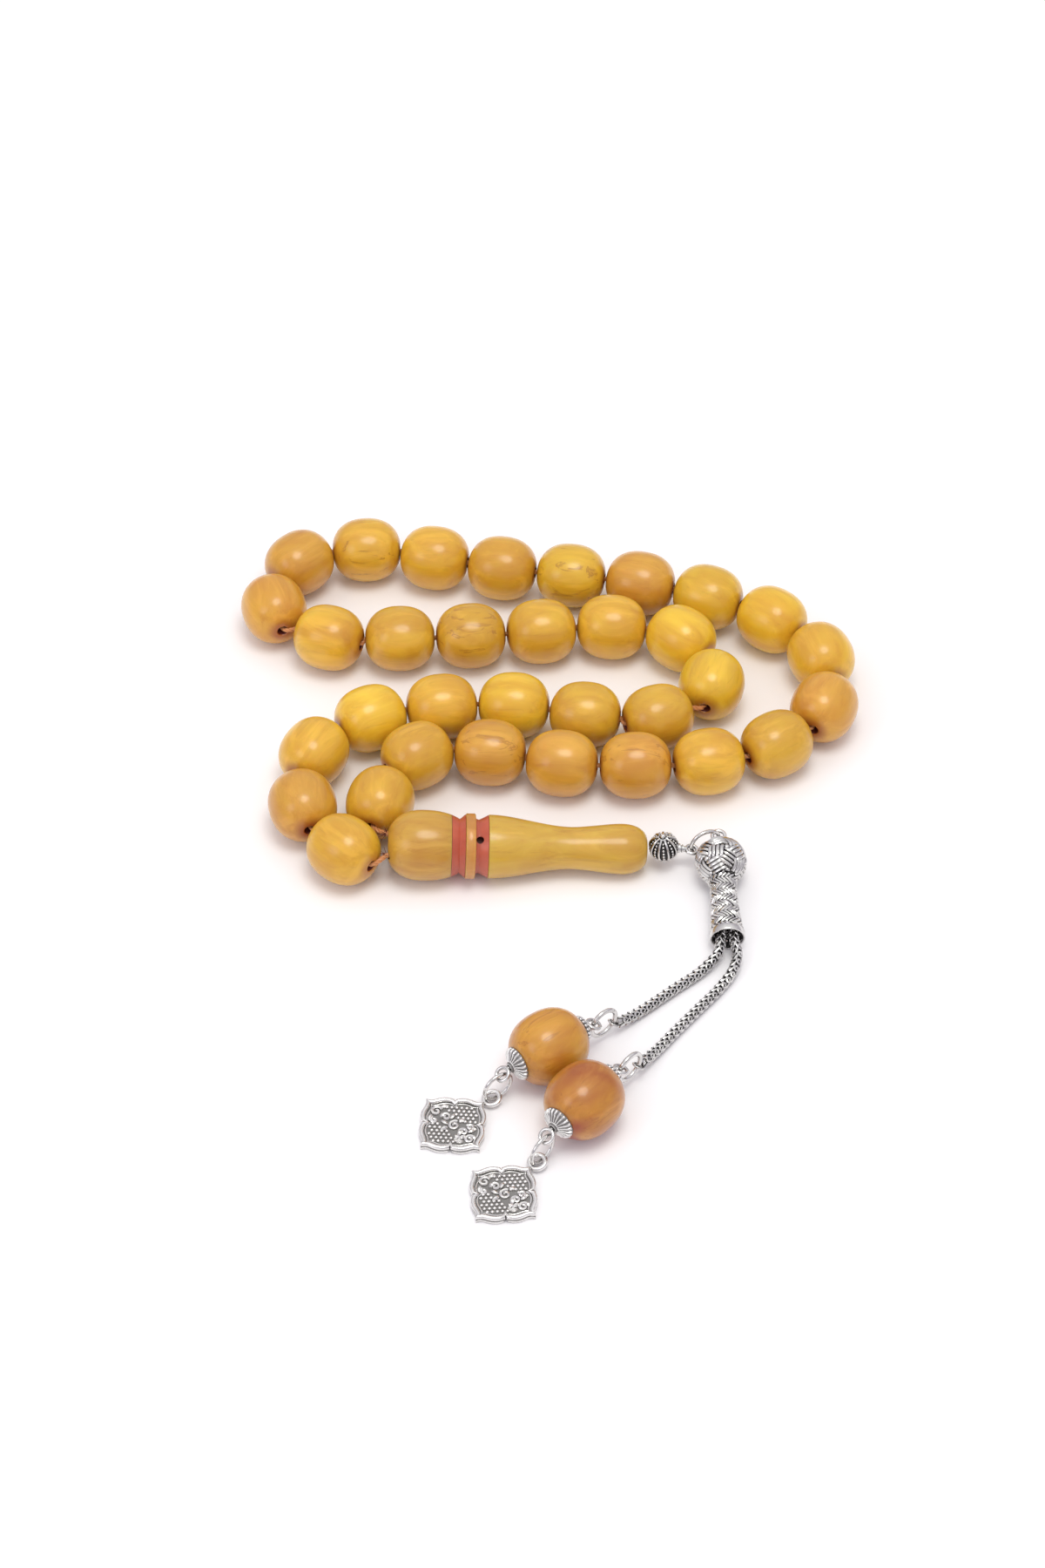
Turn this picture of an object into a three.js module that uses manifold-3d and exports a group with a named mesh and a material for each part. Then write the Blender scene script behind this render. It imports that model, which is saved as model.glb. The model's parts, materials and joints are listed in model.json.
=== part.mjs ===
// Misbaha: thirty-three barrel beads on a loop of cord, closed by a turned leader bead (the imame)
// that carries a silver tassel with two chains, two more beads and two pendants. Millimetres, +Z up.
// The strand lies flat. It is built with the leader's left end over the origin and the leader along
// +X, and the finished group is moved so that the origin is the bottom centre of the whole object.
// A piece that turns has its own origin on its pivot.
import * as THREE from 'three';
import { mergeVertices } from 'three/addons/utils/BufferGeometryUtils.js';
import Module from 'manifold-3d';

const radians = THREE.MathUtils.degToRad;

// ---- driving dimensions -------------------------------------------------------------------------
const BEAD_COUNT = 33;
const BEAD_LENGTH = 12.7;
const BEAD_DIAMETER = 12.0;
const BEAD_BORE = 2.0;
const BEAD_GAP = 0.3;              // between the ends of neighbouring beads on a straight run
const BARREL_POWER = 2.3;          // superellipse exponent of every barrel outline, 2 is an ellipse
const CORD_DIAMETER = 0.9;
const CORD_SHOWING = 1.55;         // cord between the leader's face and the first bead's end
const CORD_STRAIGHT = 0.14;        // how far past a bead's end the cord bends
const BORE_CLEARANCE = 0.1;        // the least space between the cord and a bead's bore
const STRAND_SPACING = 1.1;        // between the two strands where they run side by side

const LEADER_LENGTH = 45.1;
const LEADER_BARREL_DIAMETER = 12.3;
const LEADER_BULGE_DIAMETER = 8.8;
const LEADER_WAIST_DIAMETER = 7.35;
const LEADER_SHOULDER_DIAMETER = 11.1;
const DISC_DIAMETER = 11.4;
const COLLAR_GROOVE_DIAMETER = 9.3;
const LEADER_BORE = 2.7;
const STRAND_HOLE = 1.7;           // each of the two slanting holes in the leader's left end
const STRAND_SPLAY = 5.0;          // between the centres of those two holes
const PEG_HOLE = 1.3;              // radial hole in the second collar
const PEG_STATION = 15.85;         // how far that hole is from the leader's left end
const PEG_LEAN = radians(-120);    // the way the hole faces, round the leader from +Y
const GLUE_GAP = 0.05;             // between pieces of the leader that are glued face to face
const LEADER_YAW = radians(1.2);

const SILVER_BALL_DIAMETER = 5.4;
const SILVER_BORE = 2.4;
const NECK_REACH = 4.95;           // from the silver ball's centre to the centre of its small ring
const NECK_RING_DIAMETER = 2.6;
const NECK_DIAMETER = 1.05;
const FINE_WIRE = 0.7;
const LINK_GAP = 0.3;              // between silver pieces that only touch
const JUMP_RING_DIAMETER = 6.0;
const WOVEN_BALL_DIAMETER = 9.0;
const WOVEN_BALL_BORE = 1.8;
const HEAD_LOOP_DIAMETER = 2.9;
const HEAD_PIN_DIAMETER = 0.9;
const SLEEVE_LENGTH = 12.45;       // from its seat under the woven ball to its rim
const SLEEVE_TOP_DIAMETER = 4.7;
const SLEEVE_RIM_DIAMETER = 6.1;
const SLEEVE_MOUTH = 5.4;
const SLEEVE_LIP = 1.2;            // length of the plain band at the sleeve's rim
const SLEEVE_LIP_STEP = 0.15;      // how far that band stands out
const SLEEVE_CAVITY = 7;           // depth of the hollow that opens at the rim
const SLEEVE_TAPER = 0.9;          // how much narrower the hollow's radius is at its bottom
const SLEEVE_SEAT_GAP = 0.25;
const SEAT_DEPTH = 0.6;            // how deep the ball's end sits in the sleeve's top
const FOOT_THICKNESS = 0.5;        // the disc at the end of the head pin
const FOOT_MARGIN = 0.75;          // between that disc's edge and the sleeve's mouth
const CHAIN_DIAMETER = 2.0;
const CHAIN_SPACING = 2.3;         // between the centres of the two chains in the sleeve's mouth
const CHAIN_DEPTH = 4.0;           // how far each chain goes into the sleeve
const END_RING_DIAMETER = 6.0;
const END_RING_WIRE = 0.84;

const TASSEL_BEAD_LENGTH = 13.1;
const TASSEL_BEAD_DIAMETER = 12.4;
const TASSEL_BEAD_BORE = 1.6;
const PIN_WIRE = 0.66;
const PIN_LOOP_DIAMETER = 2.96;
const UPPER_DROOP = radians(25);   // how far the pin's two loops bend down
const LOWER_DROOP = radians(35);
const UPPER_CAP_DIAMETER = 4.6;
const UPPER_CAP_HEIGHT = 0.9;
const LOWER_CAP_DIAMETER = 5.8;
const LOWER_CAP_HEIGHT = 1.3;
const CAP_RIM = 0.5;               // thickness of a cap's rim
const CAP_SLOPE = 0.4;             // length of the cone behind that rim
const CAP_FLARE = 0.62;            // the cone's small end and the cap's shoulder, as shares of
const CAP_SHOULDER = 0.42;         // the rim's radius
const CAP_TIP = 0.35;              // thickness of metal round the pin at a cap's tip
const CAP_GAP = 0.12;              // between a cap and the bead's rounded end or the pin
const PENDANT_RING_DIAMETER = 5.9;
const PENDANT_SIDE = 9.6;          // between opposite edges, lobes not counted
const PENDANT_THICKNESS = 1.0;
const PENDANT_RIM_HEIGHT = 1.5;
const PENDANT_RIM_WIDTH = 0.75;
const BAIL_DIAMETER = 3.5;
const BAIL_WIRE = 0.84;
const LOBE_BULGE = 0.07;           // swell of a pendant's lobes, as a share of its side, then the
const LOBE_FOOT = 0.05;            // height of a lobe where it meets its notch,
const NOTCH_DEPTH = 0.02;          // depth and half width of the notch,
const NOTCH_REACH = 0.04;
const EAR_REACH = 0.02;            // and how far each corner stands out
const RING_PLAY = 0.04;            // between a pendant's ring and the wire it hangs on
const BAIL_PLAY = 0.109;           // between a bail and the ring it lies over

// Where the cord lies: its plan points for beads of ROUTE_PITCH by ROUTE_WIDTH. Larger beads spread
// the same loose curves wider.
const ROUTE_PITCH = 13.0;
const ROUTE_WIDTH = 12.0;
const ROUTE = [
  [-7.1, -1.1], [-15.3, 10.1], [-12.3, 25.6], [-1.7, 32.3], [21.1, 34.8], [36.7, 32.1], [48.7, 32],
  [57.5, 39], [51.2, 53.4], [41.9, 55.2], [14, 52.9], [-15.8, 53.3], [-22.5, 59.5], [-17.1, 74.1],
  [-6.2, 76.3], [17.8, 71.5], [46.3, 66.8], [55.9, 64.1], [72.5, 54.6], [79.9, 40], [69.2, 25.3],
  [56, 20.5], [30, 20.2], [6.7, 23.4], [-1.6, 10.8],
];

// How the tassel lies. Headings are measured from +X, rises are upwards.
const SILVER_BALL_HEADING = radians(8.7);
const SILVER_BALL_RISE = radians(5);
const NECK_HEADING = radians(0);
const NECK_RISE = radians(-9);
const JUMP_RING_HEADING = radians(23);
const JUMP_RING_RISE = radians(15);
const HEAD_HEADING = radians(272);
const RING_GRIP = radians(40);     // how far below level a chain holds its end ring
const TASSELS = [
  { heading: radians(215), ringHeading: radians(220), pendantHeading: radians(220.7) },
  { heading: radians(228.5), ringHeading: radians(226), pendantHeading: radians(229.5) },
];
// The chains' routes from the middle of the sleeve's mouth: along X and Y, and up from lying flat.
const CHAIN_ROUTES = [
  [[-1.7, -2.3, 1.1], [-3.3, -4.3, 0.4], [-5.5, -6.4, 0.03], [-8.9, -9.2, 0.03], [-12.6, -12.4, 0.03],
    [-15.9, -15.2, 0.2], [-18.3, -17.3, 0.9], [-20, -18.6, 1.74]],
  [[1.6, -2.7, 1.1], [0.7, -5.8, 0.4], [-1.9, -9.7, 0.03], [-5, -13.5, 0.03], [-9.8, -19.4, 0.03],
    [-12.6, -23.1, 0.2], [-14.5, -25.7, 0.9], [-16.0, -28.0, 1.74]],
];

// ---- materials ----------------------------------------------------------------------------------
const AMBER = { color: 0xcf9a32, roughness: 0.3, metalness: 0 };
const CORAL = { color: 0xb4483a, roughness: 0.35, metalness: 0 };
const SILVER = { color: 0xc9c7c4, roughness: 0.32, metalness: 1 };
const CORD = { color: 0xc8763a, roughness: 0.75, metalness: 0 };

function piece(name, geometry, finish) {
  const mesh = new THREE.Mesh(geometry, new THREE.MeshStandardMaterial(finish));
  mesh.name = name;
  return mesh;
}

// Places an object with its X axis along a heading and a rise, and its Y axis level.
function aim(object, place, heading, rise = 0) {
  object.position.copy(place);
  object.rotation.set(0, -rise, heading, 'ZYX');
  object.updateMatrixWorld(true);
  return object;
}

const at = (x, y, z = 0) => new THREE.Vector3(x, y, z);

const along = (from, way, distance) => from.clone().addScaledVector(way, distance);

function direction(heading, rise = 0) {
  const level = Math.cos(rise);
  return at(Math.cos(heading) * level, Math.sin(heading) * level, Math.sin(rise));
}

// ---- shapes -------------------------------------------------------------------------------------
// A solid of revolution about X from an outline of [x, radius] points. The outer surface runs from
// left to right. A bored outline then comes back along the bore; a solid one starts and ends on X.
function turned(outline, segments) {
  const points = outline.map(([x, radius]) => new THREE.Vector2(radius, x));
  const onAxis = outline[0][1] === 0;
  if (!onAxis) points.push(points[0].clone());
  return new THREE.LatheGeometry(points, segments).rotateZ(-Math.PI / 2);
}

// How far a barrel's surface is from its middle where it has come in to the given radius.
function barrelReach(length, diameter, lip) {
  const taper = (radius) => (1 - ((2 * radius) / diameter) ** BARREL_POWER) ** (1 / BARREL_POWER);
  const full = length / 2 / taper(lip);
  return (radius) => Math.min(full * taper(radius), length / 2);
}

// A barrel's outer outline from its left end to its right one, in equal steps of angle.
function barrelOutline(length, diameter, lip, steps) {
  const power = 2 / BARREL_POWER;
  const first = Math.asin(((2 * lip) / diameter) ** (1 / power));
  const reach = length / 2 / Math.cos(first) ** power;
  const outline = [];
  for (let i = 0; i <= steps; i += 1) {
    const angle = first + ((Math.PI - 2 * first) * i) / steps;
    const across = Math.cos(angle);
    const x = -Math.sign(across) * reach * Math.abs(across) ** power;
    outline.push([x, (diameter / 2) * Math.sin(angle) ** power]);
  }
  return outline;
}

const BORE_LIP = 0.25;             // flat left around a bore at a bead's end

function barrelBead(length, diameter, bore) {
  const outline = barrelOutline(length, diameter, bore / 2 + BORE_LIP, 6);
  return turned([...outline, [length / 2, bore / 2], [-length / 2, bore / 2]], 12);
}

function boredBall(diameter, bore, segments, steps) {
  const first = Math.asin(bore / diameter);
  const outline = [];
  for (let i = 0; i <= steps; i += 1) {
    const angle = first + ((Math.PI - 2 * first) * i) / steps;
    outline.push([-(diameter / 2) * Math.cos(angle), (diameter / 2) * Math.sin(angle)]);
  }
  return turned(outline, segments);
}

// Rings of round wire: flat lies in the local XY plane, upright in the local XZ plane.
function flatRing(outer, wire) {
  return new THREE.TorusGeometry((outer - wire) / 2, wire / 2, 6, 16);
}

function uprightRing(outer, wire) {
  return flatRing(outer, wire).rotateX(Math.PI / 2);
}

function rod(diameter, from, to, sides = 10) {
  const shape = new THREE.CylinderGeometry(diameter / 2, diameter / 2, to - from, sides);
  return shape.rotateZ(-Math.PI / 2).translate((from + to) / 2, 0, 0);
}

function tube(path, diameter, sides, steps) {
  const corners = [];
  for (let i = 0; i < sides; i += 1) {
    const angle = (2 * Math.PI * i) / sides;
    corners.push(new THREE.Vector2(Math.cos(angle), Math.sin(angle)).multiplyScalar(diameter / 2));
  }
  const section = new THREE.Shape(corners);
  return new THREE.ExtrudeGeometry(section, { steps, bevelEnabled: false, extrudePath: path });
}

// A path of straight lines that is stepped point by point, so a tube along it has a section at
// every corner and nowhere else.
class CornerPath extends THREE.Curve {
  constructor(points) {
    super();
    this.points = points;
  }

  getPoint(share) {
    const place = share * (this.points.length - 1);
    const corner = THREE.MathUtils.clamp(Math.floor(place), 0, this.points.length - 2);
    return this.points[corner].clone().lerp(this.points[corner + 1], place - corner);
  }

  getUtoTmapping(share) {
    return share;
  }
}

// ---- joining and cutting ------------------------------------------------------------------------
const wasm = await Module();
wasm.setup();

function toSolid(geometry) {
  const bare = geometry.clone();
  bare.deleteAttribute('normal');
  bare.deleteAttribute('uv');
  const merged = mergeVertices(bare, 1e-4);
  const corners = [];
  for (let i = 0; i < merged.index.count; i += 3) {
    const [a, b, c] = [0, 1, 2].map((k) => merged.index.getX(i + k));
    if (a !== b && b !== c && c !== a) corners.push(a, b, c);
  }
  return new wasm.Manifold(new wasm.Mesh({
    numProp: 3,
    vertProperties: new Float32Array(merged.attributes.position.array),
    triVerts: new Uint32Array(corners),
  }));
}

function toGeometry(solid) {
  const mesh = solid.getMesh();
  const geometry = new THREE.BufferGeometry();
  geometry.setAttribute('position', new THREE.BufferAttribute(mesh.vertProperties, 3));
  geometry.setIndex(new THREE.BufferAttribute(mesh.triVerts, 1));
  geometry.computeVertexNormals();
  return geometry;
}

function joined(...shapes) {
  return toGeometry(shapes.map(toSolid).reduce((whole, shape) => whole.add(shape)));
}

function cut(shape, ...tools) {
  return toGeometry(tools.map(toSolid).reduce((left, tool) => left.subtract(tool), toSolid(shape)));
}

// ---- the leader ---------------------------------------------------------------------------------
// Stations along the leader from its left end. The barrel rises to its widest and falls to the
// bottom of the first groove; the red collars fill the two grooves beside the disc.
const BARREL_WIDEST = 6.0;
const BARREL_TAIL = 9.0;           // how far past its widest the barrel would close on the axis
const BARREL_END = 11.0;
const FIRST_GROOVE = 12.35;
const DISC_START = 13.4;
const DISC_END = 15.2;
const SECOND_GROOVE = 15.7;
const BODY_START = 17.4;
const WAIST = 31.9;
const BULGE_FROM_END = 4.4;
const BULGE = LEADER_LENGTH - BULGE_FROM_END;
const END_FLAT = 2.5;              // radius of the flat on the leader's left end
const JUNCTION = 9.0;              // where the two strands come side by side
const EDGE = 0.2;                  // bevel on the disc
const LEADER_SIDES = 20;

function leaderBarrelRadius(x) {
  const flat = (2 * END_FLAT) / LEADER_BARREL_DIAMETER;
  const head = BARREL_WIDEST / (1 - flat ** BARREL_POWER) ** (1 / BARREL_POWER);
  const share = Math.abs(x - BARREL_WIDEST) / (x < BARREL_WIDEST ? head : BARREL_TAIL);
  return (LEADER_BARREL_DIAMETER / 2) * (1 - share ** BARREL_POWER) ** (1 / BARREL_POWER);
}

const barrelPoints = (...stations) => stations.map((x) => [x, leaderBarrelRadius(x)]);

function leaderPiece(outline, from, to) {
  return turned([...outline, [to, LEADER_BORE / 2], [from, LEADER_BORE / 2]], LEADER_SIDES);
}

// The barrel is solid but for a short bore at its right end and the two holes that meet there.
function leaderBarrel() {
  const end = BARREL_END - GLUE_GAP;
  const bore = LEADER_BORE / 2;
  const outline = [[0, 0], ...barrelPoints(0, 0.3, 1.1, 2.4, 4, BARREL_WIDEST, 8.5, end)];
  outline.push([end, bore], [JUNCTION - 1, bore], [JUNCTION - 1, 0]);
  const holes = [-1, 1].map((side) => {
    const mouth = at(0, (side * STRAND_SPLAY) / 2);
    const meeting = at(JUNCTION, (side * STRAND_SPACING) / 2);
    const way = meeting.clone().sub(mouth).normalize();
    return tube(new THREE.LineCurve3(along(mouth, way, -3), along(meeting, way, 0.5)), STRAND_HOLE, 8, 1);
  });
  return cut(turned(outline, LEADER_SIDES), ...holes);
}

function firstCollar() {
  const end = DISC_START - GLUE_GAP;
  const outline = [...barrelPoints(BARREL_END, FIRST_GROOVE), [end, DISC_DIAMETER / 2 - EDGE]];
  return leaderPiece(outline, BARREL_END, end);
}

function disc() {
  const end = DISC_END - GLUE_GAP;
  const radius = DISC_DIAMETER / 2;
  const outline = [[DISC_START, radius - EDGE], [DISC_START + EDGE, radius], [end - EDGE, radius]];
  return leaderPiece([...outline, [end, radius - EDGE]], DISC_START, end);
}

// The second collar has a peg hole from its upper front into the bore.
function secondCollar() {
  const end = BODY_START - GLUE_GAP;
  const groove = COLLAR_GROOVE_DIAMETER / 2;
  const outline = [[DISC_END, groove + EDGE], [SECOND_GROOVE, groove]];
  outline.push([end, LEADER_SHOULDER_DIAMETER / 2 - EDGE / 2]);
  const peg = rod(PEG_HOLE, 0, DISC_DIAMETER).rotateZ(Math.PI / 2).rotateX(PEG_LEAN);
  return cut(leaderPiece(outline, DISC_END, end), peg.translate(PEG_STATION, 0, 0));
}

function leaderBody() {
  const shoulder = LEADER_SHOULDER_DIAMETER / 2;
  const waist = LEADER_WAIST_DIAMETER / 2;
  const bulge = LEADER_BULGE_DIAMETER / 2;
  const neck = (WAIST - BODY_START) / 3;
  const outer = new THREE.Path().moveTo(BODY_START, shoulder);
  outer.bezierCurveTo(BODY_START + neck, shoulder, WAIST - neck, waist, WAIST, waist);
  outer.bezierCurveTo(WAIST + neck / 2, waist, BULGE - neck / 2, bulge, BULGE, bulge);
  const round = BULGE + BULGE_FROM_END / 1.6;
  const lip = LEADER_BORE / 2 + EDGE;
  outer.bezierCurveTo(round, bulge, LEADER_LENGTH, bulge / 1.4, LEADER_LENGTH, lip);
  const outline = outer.getPoints(5).map((point) => [point.x, point.y]);
  return leaderPiece(outline, BODY_START, LEADER_LENGTH);
}

// The leader rests on its barrel and on its bulge, so its axis slopes down to the right.
const slope = Math.asin((LEADER_BARREL_DIAMETER - LEADER_BULGE_DIAMETER) / 2 / (BULGE - BARREL_WIDEST));
const faceHeight = LEADER_BARREL_DIAMETER / 2 + BARREL_WIDEST * Math.sin(slope);
const leader = aim(new THREE.Group(), at(0, 0, faceHeight), LEADER_YAW, -slope);
leader.add(
  piece('leader_barrel', leaderBarrel(), AMBER),
  piece('leader_collar_1', firstCollar(), CORAL),
  piece('leader_disc', disc(), AMBER),
  piece('leader_collar_2', secondCollar(), CORAL),
  piece('leader_body', leaderBody(), AMBER),
);

const misbaha = new THREE.Group();
misbaha.add(leader);

// ---- the beads ----------------------------------------------------------------------------------
const spread = Math.max((BEAD_LENGTH + BEAD_GAP) / ROUTE_PITCH, BEAD_DIAMETER / ROUTE_WIDTH, 1);
const beadPitch = Math.max(BEAD_LENGTH + BEAD_GAP, ROUTE_PITCH * spread);
const beadHeight = BEAD_DIAMETER / 2;

const holeMouth = (side) => leader.localToWorld(at(0, (side * STRAND_SPLAY) / 2));

const routeCurve = new THREE.CatmullRomCurve3([
  holeMouth(-1).setZ(beadHeight),
  ...ROUTE.map(([x, y]) => at(x * spread, y * spread, beadHeight)),
  holeMouth(1).setZ(beadHeight),
]);

// The beads' centres, each one pitch from the last in a straight line.
function beadCentres() {
  const centres = [];
  let last = holeMouth(-1).setZ(beadHeight);
  let step = (CORD_SHOWING + BEAD_LENGTH / 2) * spread;
  for (const point of routeCurve.getSpacedPoints(6000)) {
    if (centres.length < BEAD_COUNT && point.distanceTo(last) >= step) {
      centres.push(point);
      last = point;
      step = beadPitch;
    }
  }
  return centres;
}

// Where the cord leaves one end of a bead: off the bore's axis, on the side it bends towards.
function cordLeaves(centre, way, end, neighbour) {
  const mouth = along(centre, way, end * (BEAD_LENGTH / 2 + CORD_STRAIGHT));
  const aside = neighbour.clone().setZ(centre.z).sub(centre);
  aside.addScaledVector(way, -aside.dot(way));
  const slack = (BEAD_BORE - CORD_DIAMETER) / 2 - BORE_CLEARANCE;
  return mouth.addScaledVector(aside, Math.min(slack / aside.length(), slack / (BEAD_LENGTH / 3)));
}

const centres = beadCentres();
const cordPoints = [];             // two for each bead, where the cord enters and leaves it
centres.forEach((centre, i) => {
  const before = centres[i - 1] ?? holeMouth(-1);
  const after = centres[i + 1] ?? holeMouth(1);
  const heading = Math.atan2(after.y - before.y, after.x - before.x);
  const shape = barrelBead(BEAD_LENGTH, BEAD_DIAMETER, BEAD_BORE);
  misbaha.add(aim(piece(`bead_${String(i + 1).padStart(2, '0')}`, shape, AMBER), centre, heading));
  const way = direction(heading);
  cordPoints.push(cordLeaves(centre, way, -1, before), cordLeaves(centre, way, 1, after));
});

// ---- the silver ball and the stringing cord -----------------------------------------------------
const leaderEnd = leader.localToWorld(at(LEADER_LENGTH, 0));
const ballWay = direction(SILVER_BALL_HEADING, SILVER_BALL_RISE);
const ballCentre = along(leaderEnd, ballWay, SILVER_BALL_DIAMETER / 2 + LINK_GAP);
const neckWay = direction(NECK_HEADING, NECK_RISE);
const neckRingCentre = along(ballCentre, neckWay, NECK_REACH);

function silverBall() {
  const radius = SILVER_BALL_DIAMETER / 2;
  const ring = flatRing(NECK_RING_DIAMETER, FINE_WIRE).translate(NECK_REACH, 0, 0);
  const neckEnd = NECK_REACH - (NECK_RING_DIAMETER - FINE_WIRE) / 2;
  const neck = rod(NECK_DIAMETER, radius / 2, neckEnd, 8);
  const boss = new THREE.SphereGeometry(radius / 4, 8, 6).translate(0, 0, radius);
  const side = new THREE.Matrix4().makeRotationFromEuler(
    new THREE.Euler(0, SILVER_BALL_RISE - NECK_RISE, NECK_HEADING - SILVER_BALL_HEADING, 'ZYX'),
  );
  const body = new THREE.SphereGeometry(radius, 16, 10);
  const whole = joined(body, boss, ring.applyMatrix4(side), neck.applyMatrix4(side));
  return cut(whole, rod(SILVER_BORE, -2 * radius, radius / 4, 12));
}

const ball = piece('silver_ball', silverBall(), SILVER);
misbaha.add(aim(ball, ballCentre, SILVER_BALL_HEADING, SILVER_BALL_RISE));

// Both ends of the cord come back through the leader side by side and are held in the silver ball.
function strandEnd(side) {
  const offset = (side * STRAND_SPACING) / 2;
  return [
    leader.localToWorld(at(0, (side * STRAND_SPLAY) / 2)),
    leader.localToWorld(at(JUNCTION, offset)),
    leader.localToWorld(at(LEADER_LENGTH, offset)),
    ball.localToWorld(at(0, offset)),
  ];
}

const cordPath = new CornerPath([...strandEnd(-1).reverse(), ...cordPoints, ...strandEnd(1)]);
const cord = tube(cordPath, CORD_DIAMETER, 6, cordPath.points.length - 1);
misbaha.add(piece('stringing_cord', cord, CORD));

// ---- the tassel's head --------------------------------------------------------------------------
// An upright jump ring goes through the silver ball's small ring and the head's loop. The head's
// parts sit along one axis, measured from the loop's centre towards the sleeve's mouth.
const jumpWay = direction(JUMP_RING_HEADING, JUMP_RING_RISE);
const jumpSpan = JUMP_RING_DIAMETER - FINE_WIRE;
const jumpShape = uprightRing(JUMP_RING_DIAMETER, FINE_WIRE).translate(jumpSpan / 2, 0, 0);
misbaha.add(aim(piece('jump_ring', jumpShape, SILVER), neckRingCentre, JUMP_RING_HEADING, JUMP_RING_RISE));

const loopCentre = along(neckRingCentre, jumpWay, jumpSpan);
const ballStation = WOVEN_BALL_DIAMETER / 2 + (HEAD_LOOP_DIAMETER - FINE_WIRE) / 2 + FINE_WIRE / 5;
const seatStation = ballStation + WOVEN_BALL_DIAMETER / 2 - SEAT_DEPTH + SLEEVE_SEAT_GAP;
const rimStation = seatStation + SLEEVE_LENGTH;
const chainStation = rimStation - CHAIN_DEPTH;
const headFall = Math.asin(Math.max(loopCentre.z - SLEEVE_RIM_DIAMETER / 2, 0) / rimStation);
const head = aim(new THREE.Group(), loopCentre, HEAD_HEADING, -headFall);

function wovenBall() {
  return boredBall(WOVEN_BALL_DIAMETER, WOVEN_BALL_BORE, 16, 9).translate(ballStation, 0, 0);
}

// The sleeve is dished at its top to sit under the ball, and open at its rim for the chains.
function sleeve() {
  const hole = WOVEN_BALL_BORE / 2;
  const top = SLEEVE_TOP_DIAMETER / 2;
  const rim = SLEEVE_RIM_DIAMETER / 2;
  const mouth = SLEEVE_MOUTH / 2;
  const lipStart = rimStation - SLEEVE_LIP;
  const bottom = rimStation - SLEEVE_CAVITY;
  const edge = EDGE / 2;
  const outer = [[seatStation, top - edge], [seatStation + EDGE, top]];
  outer.push([lipStart - edge, rim - SLEEVE_LIP_STEP], [lipStart, rim]);
  outer.push([rimStation - edge, rim], [rimStation, rim - edge]);
  const inner = [[rimStation, mouth], [lipStart - EDGE, mouth], [bottom, mouth - SLEEVE_TAPER]];
  inner.push([bottom, hole], [seatStation + SEAT_DEPTH - edge, hole]);
  return turned([...outer, ...inner], 16);
}

// The head pin is the loop above the ball, a shank through ball and sleeve, and a foot that the
// two chains are held against inside the sleeve's mouth.
function headPin() {
  const loop = flatRing(HEAD_LOOP_DIAMETER, FINE_WIRE);
  const start = (HEAD_LOOP_DIAMETER - FINE_WIRE) / 2 - FINE_WIRE / 4;
  const foot = chainStation - LINK_GAP;
  const plate = rod(SLEEVE_MOUTH - 2 * FOOT_MARGIN, foot - FOOT_THICKNESS, foot, 12);
  return joined(loop, rod(HEAD_PIN_DIAMETER, start, foot - FOOT_THICKNESS / 2), plate);
}

head.add(
  piece('woven_ball', wovenBall(), SILVER),
  piece('woven_sleeve', sleeve(), SILVER),
  piece('head_pin', headPin(), SILVER),
);
misbaha.add(head);

// ---- the two tassels ----------------------------------------------------------------------------
const mouthCentre = head.localToWorld(at(rimStation, 0));
const ringSpan = END_RING_DIAMETER - END_RING_WIRE;
const loopSpan = PIN_LOOP_DIAMETER - PIN_WIRE;
const tasselBeadHeight = TASSEL_BEAD_DIAMETER / 2;
const tasselBeadLip = TASSEL_BEAD_BORE / 2 + BORE_LIP;
const capReach = barrelReach(TASSEL_BEAD_LENGTH, TASSEL_BEAD_DIAMETER, tasselBeadLip);
const loopSeat = TASSEL_BEAD_LENGTH / 2 + CAP_GAP + PIN_WIRE / 2 + CAP_GAP;
const upperEntry = loopSeat + UPPER_CAP_HEIGHT;
const lowerEntry = loopSeat + LOWER_CAP_HEIGHT;

// The wire that each pendant's ring hangs on, and the underside of that ring.
const lowHeight = tasselBeadHeight - loopSpan * Math.sin(LOWER_DROOP);
const hang = (PENDANT_RING_DIAMETER - FINE_WIRE) / 2 - (PIN_WIRE + FINE_WIRE) / 2 - RING_PLAY;
const ringFoot = lowHeight - hang - PENDANT_RING_DIAMETER / 2;

// A cap on the bead's right end: its inner face follows the bead, its outer face is a flared cone.
function cap(diameter, height) {
  const radius = diameter / 2;
  const hole = PIN_WIRE / 2 + CAP_GAP;
  const face = (share) => {
    const r = hole + (radius - hole) * share;
    return [capReach(r) + CAP_GAP, r];
  };
  const tip = TASSEL_BEAD_LENGTH / 2 + CAP_GAP + height;
  const backOfRim = face(1)[0] + CAP_RIM;
  const outer = [face(1), [backOfRim, radius], [backOfRim + CAP_SLOPE, radius * CAP_FLARE]];
  outer.push([tip - CAP_TIP, radius * CAP_SHOULDER], [tip, hole + CAP_TIP]);
  return turned([...outer, [tip, hole], face(0), face(0.35), face(0.7)], 12);
}

// The bead's pin, measured from the middle of the bead: a shank with a drooping loop at each end.
function beadPin() {
  const loop = () => flatRing(PIN_LOOP_DIAMETER, PIN_WIRE);
  const upper = loop().translate(-loopSpan / 2, 0, 0).rotateY(-UPPER_DROOP);
  const lower = loop().translate(loopSpan / 2, 0, 0).rotateY(LOWER_DROOP);
  const shank = rod(PIN_WIRE, -upperEntry - PIN_WIRE / 6, lowerEntry + PIN_WIRE / 6, 8);
  return joined(shank, upper.translate(-upperEntry, 0, 0), lower.translate(lowerEntry, 0, 0));
}

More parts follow.
